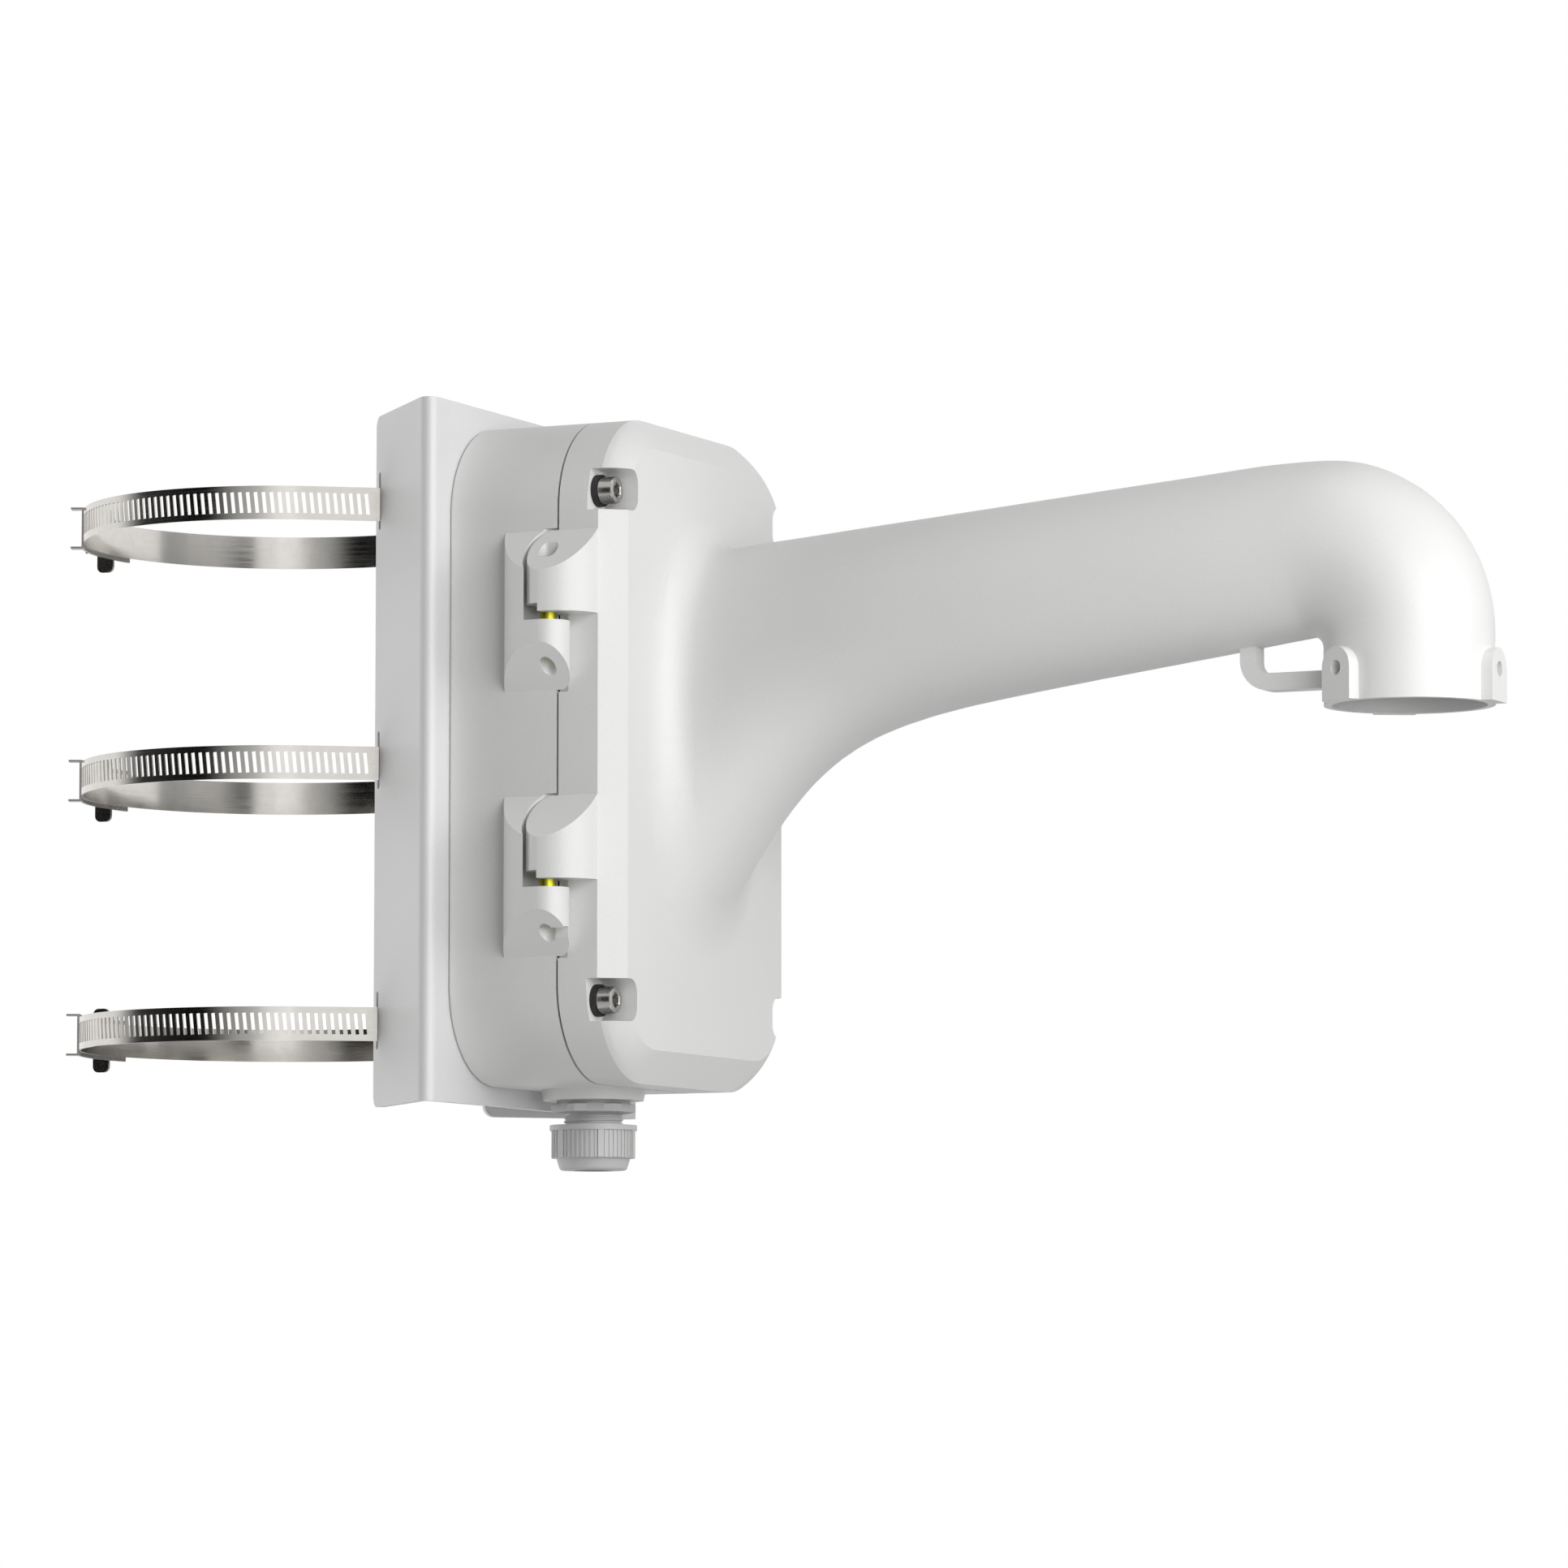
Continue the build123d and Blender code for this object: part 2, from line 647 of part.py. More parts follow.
gland_seat = box_bottom - gland_boss_height
gland_hex_top = gland_seat - gland_gasket
gland_hex_bottom = gland_hex_top - gland_hex_height
gland_nut_top = gland_hex_bottom - gland_neck
gland_nut_nose_top = gland_nut_top - gland_nut_collar - gland_nut_body
gland_end = gland_nut_nose_top - gland_nut_nose
gland_body_end = gland_nut_nose_top + 1


def hex_z(flat, z0, z1):
    """A hexagonal prism along Z with a flat towards +X, at the gland."""
    outline = Rot(0, 0, 30) * RegularPolygon(flat / 2, 6, major_radius=False)
    return Pos(gland_x, 0, z0) * extrude(outline, z1 - z0)


def make_gland_body():
    """The gland's threaded tube with its hexagon."""
    top = box_bottom + wall + locknut_height + 2
    body = rod_z(gland_thread_radius, gland_body_end, top, gland_x)
    body += hex_z(gland_hex_flat, gland_hex_bottom, gland_hex_top)
    return body - rod_z(gland_bore_radius, gland_body_end - 1, top + 1, gland_x)


def make_gland_gasket():
    """The sealing ring between the gland's hexagon and the boss."""
    ring = rod_z(gland_hex_flat / 2, gland_hex_top, gland_seat, gland_x)
    return ring - rod_z(gland_thread_radius, gland_hex_top - 1, gland_seat + 1, gland_x)


def make_gland_locknut():
    """The nut inside the box that holds the gland."""
    z0 = box_bottom + wall
    nut = hex_z(locknut_flat, z0, z0 + locknut_height)
    return nut - rod_z(gland_thread_radius, z0 - 1, z0 + locknut_height + 1, gland_x)


def make_gland_seal():
    """The rubber ring that the nut squeezes on to the cable."""
    low = gland_body_end - 1
    ring = rod_z(gland_bore_radius - gland_nut_gap, low, gland_nut_top, gland_x)
    return ring - rod_z(gland_seal_cable_radius, low - 1, gland_nut_top + 1, gland_x)


def make_gland_nut():
    """The clamping nut: collar, ribbed body and tapered nose."""
    body_top = gland_nut_top - gland_nut_collar
    nut = rod_z(gland_nut_collar_radius, body_top, gland_nut_top, gland_x)
    nut += rod_z(gland_nut_radius, gland_nut_nose_top, body_top, gland_x)
    nose = Pos(gland_x, 0, gland_nut_nose_top) * Rot(180, 0, 0) * loft(
        [Circle(gland_nose_radius), Pos(0, 0, gland_nut_nose) * Circle(gland_nose_end_radius)]
    )
    nut += fillet(nose.edges().sort_by(Axis.Z)[0], 1.5)
    steps = gland_nut_bars * (gland_nut_ribs + 1)
    for i in range(steps):
        broad = i % (gland_nut_ribs + 1) == 0
        width = 2.2 if broad else 0.8
        depth = gland_nut_bar * (1.6 if broad else 0.7)
        bar = Box(2 * depth, width, gland_nut_body)
        place = Pos(gland_x, 0, (body_top + gland_nut_nose_top) / 2)
        nut += place * Rot(0, 0, 360 * i / steps - 53) * Pos(gland_nut_radius, 0, 0) * bar
    thread = gland_thread_radius + gland_nut_gap
    nut -= rod_z(thread, gland_body_end - 1.2, gland_nut_top + 1, gland_x)
    return nut - rod_z(gland_cable_radius, gland_end - 1, gland_nut_top, gland_x)


# Band clamps

def band_geometry():
    """Where the band leaves the pole, meets the slot and turns inside the channel."""
    radius = pole_radius + band_thickness / 2
    slot_x, slot_y = slot_place()
    away = sqrt((slot_x - pole_x) ** 2 + slot_y**2)
    leave = atan2(slot_y, slot_x - pole_x) + acos(radius / away)
    heading = leave - pi / 2
    straight = sqrt(away**2 - radius**2) + 2 * sheet
    end_x = pole_x + radius * cos(leave) + straight * cos(heading)
    end_y = radius * sin(leave) + straight * sin(heading)
    front_radius = end_y / sin(leave)
    front_x_centre = end_x - front_radius * cos(leave)
    return radius, leave, heading, straight, front_radius, front_x_centre


def band_outline(offset):
    """The band's closed line, moved outwards by offset."""
    radius, leave, heading, straight, front_radius, front_centre = band_geometry()
    r = radius + offset
    f = front_radius + offset
    back = (pole_x - r, 0)
    tangent = (pole_x + r * cos(leave), r * sin(leave))
    end = (front_centre + f * cos(leave), f * sin(leave))
    nose = (front_centre + f, 0)
    tangent_low = (tangent[0], -tangent[1])
    end_low = (end[0], -end[1])
    return make_face(
        Wire(
            [
                Edge.make_three_point_arc(tangent, back, tangent_low),
                Edge.make_line(tangent_low, end_low),
                Edge.make_three_point_arc(end_low, nose, end),
                Edge.make_line(end, tangent),
            ]
        )
    )


def make_band():
    """A perforated steel band in its closed loop, centred on z = 0."""
    face = band_outline(band_thickness / 2) - band_outline(-band_thickness / 2)
    band = Pos(0, 0, -band_height / 2) * extrude(face, band_height)
    radius, leave, heading, straight, front_radius, front_centre = band_geometry()
    cutter = Rot(perforation_tilt, 0, 0) * Box(
        6 * band_thickness, perforation_width, perforation_height
    )
    step = degrees(perforation_pitch / radius)
    count = int((360 - saddle_end - degrees(leave)) / step)
    cutters = []
    for i in range(1, count + 1):
        angle = -degrees(leave) - i * step
        cutters.append(Pos(pole_x, 0, 0) * Rot(0, 0, angle) * Pos(radius, 0, 0) * cutter)
    along = straight - 2.5 * sheet
    for i in range(int(along / perforation_pitch)):
        d = i * perforation_pitch
        x = pole_x + radius * cos(leave) + d * cos(heading)
        y = -radius * sin(leave) - d * sin(heading)
        cutters.append(Pos(x, y, 0) * Rot(0, 0, -degrees(leave)) * cutter)
    return band - cutters


def on_band(angle, radial, along=0.0, z=0.0):
    """Place outside the band at an angle round the pole: out from the band, along it and up."""
    out = pole_radius + band_thickness + radial
    return Pos(pole_x, 0, 0) * Rot(0, 0, angle) * Pos(out, along, z)


def saddle_plate():
    """The curved plate on the band, with a window under the worm and one under its head."""
    inner = pole_radius + band_thickness
    outer = inner + saddle_thickness
    sketch = make_face(
        Wire(
            [
                Edge.make_circle(inner, Plane.XY, saddle_start, saddle_end),
                Edge.make_line(polar(inner, saddle_end), polar(outer, saddle_end)),
                Edge.make_circle(outer, Plane.XY, saddle_start, saddle_end),
                Edge.make_line(polar(outer, saddle_start), polar(inner, saddle_start)),
            ]
        )
    )
    plate = Pos(pole_x, 0, -saddle_height / 2) * extrude(sketch, saddle_height)
    for along, length, radius in (
        (0, worm_length, worm_radius),
        (-worm_neck_end - worm_head_height / 2, worm_head_height, worm_head_radius),
    ):
        window = Box(4 * saddle_thickness, length + worm_gap, 2 * (radius + worm_gap))
        plate -= on_band(worm_angle, saddle_thickness / 2, along) * window
    return plate


def polar(radius, angle):
    """A point at a radius and an angle in degrees."""
    return (radius * cos(radians(angle)), radius * sin(radians(angle)))


def make_housing():
    """The screw housing: a saddle on the band, two bearing walls for the screw and two ears."""
    housing = saddle_plate()
    ear_middle = saddle_end - degrees(ear_length / 2 / pole_radius)
    ear = Box(ear_height, ear_length, ear_thickness)
    for side in (-1, 1):
        z = side * (saddle_height - ear_thickness) / 2
        housing += on_band(ear_middle, ear_height / 2, 0, z) * ear
    at = (worm_length + bearing_thickness) / 2 + worm_gap
    near = Box(bearing_height, bearing_thickness, bearing_width)
    housing += on_band(worm_angle, bearing_height / 2, at) * near
    foot = Box(end_plate_centre, bearing_thickness, bearing_width)
    housing += on_band(worm_angle, end_plate_centre / 2, -at) * foot
    outline = RectangleRounded(end_plate_depth, end_plate_height, end_plate_corner)
    plate = Rot(90, 0, 0) * extrude(outline, bearing_thickness / 2, both=True)
    housing += on_band(worm_angle, end_plate_centre, -at) * plate
    hole = Rot(90, 0, 0) * Cylinder(worm_neck_radius + worm_gap / 2, worm_length + 4 * bearing_thickness)
    return housing - on_band(worm_angle, worm_axis_height) * hole


def make_worm():
    """The worm screw: thread, two necks and a slotted hexagon head."""
    worm = Rot(90, 0, 0) * Cylinder(worm_radius, worm_length)
    neck = Rot(90, 0, 0) * Cylinder(worm_neck_radius, 2 * worm_neck_end)
    outline = RegularPolygon(worm_head_radius, 6)
    head = Pos(0, -worm_neck_end, 0) * Rot(90, 0, 0) * extrude(outline, worm_head_height)
    slot = Pos(0, -worm_neck_end - worm_head_height, 0) * Box(
        2 * worm_head_flat, 2 * worm_slot_depth, worm_slot
    )
    return on_band(worm_angle, worm_axis_height) * (worm + neck + head - slot)


def write(name, shape):
    """Move a piece to the pole's axis and write it."""
    pieces = shape if isinstance(shape, list) else [shape]
    moved = [Pos(-pole_x, 0, 0) * piece for piece in pieces]
    whole = moved[0] if len(moved) == 1 else Compound(children=moved)
    export_step(whole, f"parts/{name}.step")
    solids = whole.solids()
    volume = sum(s.volume for s in solids)
    print(f"{name}: {len(solids)} solid, {volume / 1000:.2f} cm3")


def main():
    os.makedirs("parts", exist_ok=True)
    write("pole_plate", make_pole_plate())
    write("rear_shell", make_rear_shell())
    write("lid_arm", make_lid_arm())
    write("lid_gasket", make_lid_gasket())
    write("hinge_pin_upper", make_hinge_pin(hinge_places[0]))
    write("hinge_pin_lower", make_hinge_pin(hinge_places[1]))
    write("lid_screws", make_lid_screws())
    write("lid_screw_seals", make_screw_seals())
    write("box_bolts", make_bolts())
    write("box_bolt_washers", make_washers(shell_floor + pad_height))
    write("plate_washers", make_washers(-sheet - bolt_washer))
    write("box_bolt_nuts", make_bolt_nuts())
    write("gland_body", make_gland_body())
    write("gland_gasket", make_gland_gasket())
    write("gland_locknut", make_gland_locknut())
    write("gland_seal", make_gland_seal())
    write("gland_nut", make_gland_nut())
    band = make_band()
    housing = make_housing()
    worm = make_worm()
    for name, slot_z in (("top", band_spacing), ("middle", 0), ("bottom", -band_spacing)):
        place = Pos(0, 0, slot_z - band_drop)
        write(f"clamp_band_{name}", place * band)
        write(f"clamp_housing_{name}", place * housing)
        write(f"clamp_screw_{name}", place * worm)


main()
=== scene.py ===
# %% [markdown]
# # A pole mount for a dome camera
#
# The bracket is a folded steel plate with three band clamps, a cast box with a hinged
# lid, and a hollow arm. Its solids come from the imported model, already at their real
# size. This notebook gives each of them its finish, remakes the fasteners and the
# gland's body with their threads, rounds the arm's root, and sets up the camera and a
# plain studio.

import json
from math import cos, pi, radians, sin, tau

import bpy
from mathutils import Matrix, Vector
from mathutils.bvhtree import BVHTree


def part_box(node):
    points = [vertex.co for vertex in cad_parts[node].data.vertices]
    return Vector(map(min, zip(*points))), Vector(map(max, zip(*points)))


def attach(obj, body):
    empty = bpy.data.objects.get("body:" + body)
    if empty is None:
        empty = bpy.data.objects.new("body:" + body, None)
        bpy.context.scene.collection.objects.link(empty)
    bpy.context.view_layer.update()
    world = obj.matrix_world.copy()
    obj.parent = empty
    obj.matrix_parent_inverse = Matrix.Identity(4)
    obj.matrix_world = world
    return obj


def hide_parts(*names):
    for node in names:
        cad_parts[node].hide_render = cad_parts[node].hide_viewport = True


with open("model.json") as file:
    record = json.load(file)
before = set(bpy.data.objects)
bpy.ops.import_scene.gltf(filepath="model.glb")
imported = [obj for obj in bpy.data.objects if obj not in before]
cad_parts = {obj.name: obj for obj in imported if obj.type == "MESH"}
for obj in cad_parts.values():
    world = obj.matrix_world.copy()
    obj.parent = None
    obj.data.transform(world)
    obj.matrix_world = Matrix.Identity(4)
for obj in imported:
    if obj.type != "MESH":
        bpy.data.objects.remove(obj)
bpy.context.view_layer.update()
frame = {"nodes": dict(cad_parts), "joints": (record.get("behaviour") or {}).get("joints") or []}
nodes = frame["nodes"]
MM = 0.001

# %% [markdown]
# ## Where the camera stands
#
# A product picture is taken from far away with a long lens, so that parallel edges stay
# nearly parallel. The camera here stands a little below the box and looks up at it, with
# the arm pointing to the right. It could be aimed with a tracking constraint, but its
# own axes written into a matrix leave nothing to solve.

# %% The camera
picture_width = 1932
focal_length_px = 8805.0
sensor_mm = 36.0
sight_limit = 60  # metres, well past the floor's far edge
camera_place = Vector((1.35378, -2.40935, -0.25571))
camera_azimuth = radians(25.316)
camera_pitch = radians(5.248)


def show(name, data):
    """An object in the scene that holds a mesh, a lamp or a lens."""
    thing = bpy.data.objects.new(name, data)
    bpy.context.scene.collection.objects.link(thing)
    return thing


forward = Vector((
    -sin(camera_azimuth) * cos(camera_pitch),
    cos(camera_azimuth) * cos(camera_pitch),
    sin(camera_pitch),
))
right = Vector((cos(camera_azimuth), sin(camera_azimuth), 0))
up = right.cross(forward)
lens = bpy.data.cameras.new("camera")
lens.sensor_width = sensor_mm
lens.lens = sensor_mm * focal_length_px / picture_width
lens.clip_end = sight_limit
camera = show("camera", lens)
camera_axes = Matrix((right, up, -forward)).transposed().to_4x4()
camera.matrix_world = Matrix.Translation(camera_place) @ camera_axes
bpy.context.scene.camera = camera
print("lens", round(lens.lens, 1), "mm")


# %% [markdown]
# ## Colours and nodes
#
# Paint makers give colours as hex codes, which are sRGB. Cycles works in linear light,
# so one function turns the code into linear numbers. A second one adds a shader node,
# sets its inputs by name and links what is given as a socket.

# %% Helpers for colours and nodes
def colour(code):
    """A hex code such as #E8E8E6 as linear red, green, blue and alpha."""
    parts = [int(code[i:i + 2], 16) / 255 for i in (1, 3, 5)]
    linear = [p / 12.92 if p <= 0.04045 else ((p + 0.055) / 1.055) ** 2.4 for p in parts]
    return (*linear, 1.0)


def darker(base, share):
    """A linear colour taken down to a share of its brightness."""
    return (*(part * share for part in base[:3]), 1.0)


def add(tree, kind, inputs=None, **settings):
    """A new node with its settings made, and its inputs set or linked."""
    node = tree.nodes.new(kind)
    for name, value in settings.items():
        setattr(node, name, value)
    for name, value in (inputs or {}).items():
        if isinstance(value, bpy.types.NodeSocket):
            tree.links.new(value, node.inputs[name])
        else:
            node.inputs[name].default_value = value
    return node


def empty_tree(owner):
    """The node tree of a material or world, cleared."""
    owner.use_nodes = True
    owner.node_tree.nodes.clear()
    return owner.node_tree


print("a middle grey in linear light", round(colour("#808080")[0], 3))

# %% [markdown]
# ## Lamps
#
# The picture has a pure white ground with no shadow on it, and the white paint still
# shows its form: faces turned to the camera's right are brightest, and the left and
# lower sides fall off to a light grey. That takes a large soft key lamp and a second,
# narrower one to the right of the camera. Weak ones above and below open up the
# shadows, and one on the far left lights the plate's folded wing. That last one is
# kept out of reflections, because the clamps' steel would show it as a white patch.

# %% The five lamps
lamp_target = Vector((0.22, 0, 0.02))  # the middle of the arm


def area_lamp(name, azimuth, height, distance, size, watts):
    """A soft lamp, placed by its direction round the bracket, that looks at the arm."""
    lamp = bpy.data.lights.new(name, "AREA")
    lamp.shape = "RECTANGLE"
    lamp.size, lamp.size_y = size
    lamp.energy = watts
    angle = radians(azimuth)
    place = lamp_target + Vector((distance * cos(angle), distance * sin(angle), height))
    aim = (lamp_target - place).to_track_quat("-Z", "Y").to_matrix().to_4x4()
    thing = show(name, lamp)
    thing.matrix_world = Matrix.Translation(place) @ aim
    return thing


key_lamp = area_lamp("key_lamp", azimuth=-10, height=0.24, distance=1.35, size=(0.85, 0.9), watts=8)
strip_lamp = area_lamp("strip_lamp", azimuth=-43, height=0.2, distance=1.35, size=(0.6, 0.95), watts=8.5)
area_lamp("top_lamp", azimuth=-60, height=1.9, distance=0.6, size=(1.2, 1.2), watts=4.5)
area_lamp("low_lamp", azimuth=-50, height=-1.5, distance=1.0, size=(1.2, 1.2), watts=4)
left_lamp = area_lamp("left_lamp", azimuth=-172, height=-0.1, distance=1.5, size=(1.2, 1.6), watts=14)
left_lamp.visible_glossy = False

# %% [markdown]
# ## The white surround
#
# A white world would light the paint from every side and flatten it. So the world is
# white only where the camera, a reflection or a ray through glass meets it, and a dark
# grey where it gives light. The Light Path node tells these rays apart.

# %% The world
light_grey = 0.18  # the strength that lights the bracket
seen_white = 1.0


def seen_directly(tree):
    """1 for a ray from the camera, a reflection or through glass, and 0 for light."""
    ray = add(tree, "ShaderNodeLightPath").outputs
    either = add(tree, "ShaderNodeMath", {0: ray["Is Camera Ray"], 1: ray["Is Glossy Ray"]},
                 operation="MAXIMUM")
    any_of_them = add(tree, "ShaderNodeMath", {0: either.outputs[0], 1: ray["Is Transmission Ray"]},
                      operation="MAXIMUM")
    return any_of_them.outputs[0]


world = bpy.data.worlds.new("studio")
bpy.context.scene.world = world
tree = empty_tree(world)
lighting = add(tree, "ShaderNodeBackground", {"Color": (1, 1, 1, 1), "Strength": light_grey})
ground = add(tree, "ShaderNodeBackground", {"Color": (1, 1, 1, 1), "Strength": seen_white})
mix = add(tree, "ShaderNodeMixShader",
          {0: seen_directly(tree), 1: lighting.outputs[0], 2: ground.outputs[0]})
add(tree, "ShaderNodeOutputWorld", {"Surface": mix.outputs[0]})
bpy.context.scene.view_settings.view_transform = "Standard"
print("world lights with", light_grey, "and shows as", seen_white)

# %% [markdown]
# ## The floor
#
# The bracket hangs on a pole, so the floor lies well below it and out of the picture.
# It is matt white paper: a diffuse surface whose tone drifts a little, with a glow that
# only the camera and reflections see, so that it comes out pale without lighting the
# bracket's underside.

# %% The floor
floor_height = -2.0
floor_half = 14.0
floor_glow = 0.62
tone_patches = 3.0  # in a metre

floor_shade = bpy.data.materials.new("studio_floor")
tree = empty_tree(floor_shade)
grain = add(tree, "ShaderNodeTexNoise", {"Scale": tone_patches, "Detail": 2.0})
tone = add(tree, "ShaderNodeMapRange", {"Value": grain.outputs["Fac"], "To Min": 0.86, "To Max": 0.9})
paper = add(tree, "ShaderNodeBsdfDiffuse", {"Color": tone.outputs["Result"]})
lift = add(tree, "ShaderNodeMath", {0: seen_directly(tree), 1: floor_glow}, operation="MULTIPLY")
glow = add(tree, "ShaderNodeEmission", {"Color": (1, 1, 1, 1), "Strength": lift.outputs[0]})
both = add(tree, "ShaderNodeAddShader", {0: paper.outputs[0], 1: glow.outputs[0]})
add(tree, "ShaderNodeOutputMaterial", {"Surface": both.outputs[0]})

floor_mesh = bpy.data.meshes.new("floor")
floor_corners = [(x * floor_half, y * floor_half, floor_height)
                 for x, y in ((-1, -1), (1, -1), (1, 1), (-1, 1))]
floor_mesh.from_pydata(floor_corners, [], [(0, 1, 2, 3)])
floor_mesh.materials.append(floor_shade)
show("floor", floor_mesh)
print("floor", 2 * floor_half, "m wide at", floor_height, "m")

# %% [markdown]
# ## A graduated card for the steel
#
# Polished steel shows whatever stands round it. In the picture the bands run from white
# to black and back to white, in long soft steps. A photographer gets that with a card
# that fades from white to black, so a curved card stands round the bands here. Only
# reflections see it, so it neither lights nor shades anything.

# %% The card's fade
card_radius = 1.0
card_low, card_high = -0.35, 0.45
card_from, card_to = -178.0, -56.0
fade = [(-170, 1.0), (-146, 0.03), (-104, 0.0), (-80, 0.5), (-64, 1.1), (-56, 1.2)]

card_shade = bpy.data.materials.new("studio_graduated_card")
tree = empty_tree(card_shade)
at = add(tree, "ShaderNodeTexCoord").outputs["Object"]
place = add(tree, "ShaderNodeSeparateXYZ", {"Vector": at})
azimuth = add(tree, "ShaderNodeMath", {0: place.outputs["Y"], 1: place.outputs["X"]},
              operation="ARCTAN2")
share = add(tree, "ShaderNodeMapRange", {"Value": azimuth.outputs[0],
                                         "From Min": radians(card_from),
                                         "From Max": radians(card_to)})
ramp = add(tree, "ShaderNodeValToRGB", {"Fac": share.outputs["Result"]})
ramp.color_ramp.interpolation = "EASE"
while len(ramp.color_ramp.elements) < len(fade):
    ramp.color_ramp.elements.new(0.5)
# All the places come before all the levels, because moving a stop can reorder them.
for stop, (angle, _) in zip(ramp.color_ramp.elements, fade):
    stop.position = (angle - card_from) / (card_to - card_from)
for stop, (_, level) in zip(ramp.color_ramp.elements, fade):
    stop.color = (level, level, level, 1)
glow = add(tree, "ShaderNodeEmission", {"Color": ramp.outputs["Color"], "Strength": 1.0})
add(tree, "ShaderNodeOutputMaterial", {"Surface": glow.outputs[0]})
print("card from", card_from, "to", card_to, "degrees, with", len(fade), "stops")

# %% The curved card itself
strips = 34
card_verts, card_faces = [], []
for i in range(strips + 1):
    angle = radians(card_from + (card_to - card_from) * i / strips)
    card_verts += [(card_radius * cos(angle), card_radius * sin(angle), height)
                   for height in (card_low, card_high)]
    if i:
        card_faces.append((2 * i - 2, 2 * i, 2 * i + 1, 2 * i - 1))
card_mesh = bpy.data.meshes.new("graduated_card")
card_mesh.from_pydata(card_verts, [], card_faces)
card_mesh.materials.append(card_shade)
card = show("graduated_card", card_mesh)
card.visible_camera = False
card.visible_diffuse = False
card.visible_shadow = False
card.visible_transmission = False
print("card of", len(card_faces), "strips")

# %% [markdown]
# ## Keep the two front lamps off the bands
#
# The key and strip lamps are as bright as the paint needs, and the polished bands would
# throw them back as burnt-out patches. A photographer screens the steel with black
# flags. Light linking does the same: these two lamps light all but the bands.

# %% Light linking
levels = ("top", "middle", "bottom")
screened = bpy.data.collections.new("bands_kept_out_of_the_key_light")
for level in levels:
    screened.objects.link(nodes[f"clamp_band_{level}"])
for entry in screened.collection_objects:
    entry.light_linking.link_state = "EXCLUDE"
for lamp in (key_lamp, strip_lamp):
    lamp.light_linking.receiver_collection = screened


# %% [markdown]
# ## White powder coat
#
# Both the plate and the castings are powder coated: dry polyester powder is sprayed on
# and melted. It never flows quite level, so the coat has an orange peel about a
# millimetre across, and under it the sand-like skin of the casting shows faintly. The
# coat is a dielectric with an IOR near 1.5 and a satin gloss. Layered noise makes the
# peel better than an image would, because it has no seams on the curved arm.

# %% The coat's material
def new_surface(name):
    """A new material, its node tree and its Principled shader."""
    shade = bpy.data.materials.new(name)
    shade.use_nodes = True
    return shade, shade.node_tree, shade.node_tree.nodes["Principled BSDF"]


def dress(tree, surface, tint, gloss, bump):
    """Link a colour, a roughness and a bump to the shader."""
    tree.links.new(tint, surface.inputs["Base Color"])
    tree.links.new(gloss, surface.inputs["Roughness"])
    tree.links.new(bump, surface.inputs["Normal"])


coat_ior = 1.56
coat_clouds = 9.0  # slow drifts of tone and gloss, in a metre
coat_gloss_drift = 0.04
grit_share = 0.35  # of the bump, beside the peel


def powder_coat(name, code, peel_mm, grit_mm, roughness, peel_depth_mm):
    """Satin polyester powder coat over metal, with orange peel and a fine grit."""
    shade, tree, coat = new_surface(name)
    at = add(tree, "ShaderNodeTexCoord").outputs["Object"]
    peel = add(tree, "ShaderNodeTexNoise",
               {"Vector": at, "Scale": 1 / (peel_mm * MM), "Detail": 2.0})
    grit = add(tree, "ShaderNodeTexNoise",
               {"Vector": at, "Scale": 1 / (grit_mm * MM), "Detail": 3.0})
    cloud = add(tree, "ShaderNodeTexNoise", {"Vector": at, "Scale": coat_clouds, "Detail": 3.0})
    base = colour(code)
    faint = add(tree, "ShaderNodeMix",
                {"Factor": cloud.outputs["Fac"], "A": darker(base, 0.97), "B": base},
                data_type="RGBA")
    speck = add(tree, "ShaderNodeMapRange",
                {"Value": grit.outputs["Fac"], "From Min": 0.3, "From Max": 0.7,
                 "To Min": 0.965, "To Max": 1.0})
    tint = add(tree, "ShaderNodeVectorMath",
               {0: faint.outputs["Result"], "Scale": speck.outputs["Result"]}, operation="SCALE")
    gloss = add(tree, "ShaderNodeMapRange",
                {"Value": cloud.outputs["Fac"], "To Min": roughness - coat_gloss_drift,
                 "To Max": roughness + coat_gloss_drift})
    height = add(tree, "ShaderNodeMath",
                 {0: grit.outputs["Fac"], 1: grit_share, 2: peel.outputs["Fac"]},
                 operation="MULTIPLY_ADD")
    bump = add(tree, "ShaderNodeBump",
               {"Height": height.outputs[0], "Strength": 0.5, "Distance": peel_depth_mm * MM})
    dress(tree, coat, tint.outputs[0], gloss.outputs["Result"], bump.outputs["Normal"])
    coat.inputs["IOR"].default_value = coat_ior
    return shade


# The casting's coat lies over a sandy skin, and the sheet's is a touch smoother.
cast_coat = powder_coat("white_powder_coat_on_cast_aluminium", "#E6E6E5",
                        peel_mm=1.1, grit_mm=0.45, roughness=0.45, peel_depth_mm=0.09)
plate_coat = powder_coat("white_powder_coat_on_sheet_steel", "#E3E3E3",
                         peel_mm=1.4, grit_mm=0.6, roughness=0.42, peel_depth_mm=0.06)
print("coats", cast_coat.name, plate_coat.name)


# %% [markdown]
# ## Polished stainless strip and other steel
#
# Band clamps are slit from cold-rolled stainless strip. Rolling leaves very fine lines
# along the strip, which stretch each reflection across it, so the steel is anisotropic:
# its highlight is narrow along the band and wide across it. The lines are noise that
# changes fast up the band and slowly round it. The pressed housings and the fasteners
# are duller and have no one direction, so their noise is the same every way.

# %% Steel for the bands, the housings and the fasteners
steel_gloss_drift = 0.08
smoothest = 0.05
mark_depth_mm = 0.02
rolled_lines = (30, 30, 9000)  # in a metre along x, y and z
brushed_every_way = (2500, 2500, 2500)


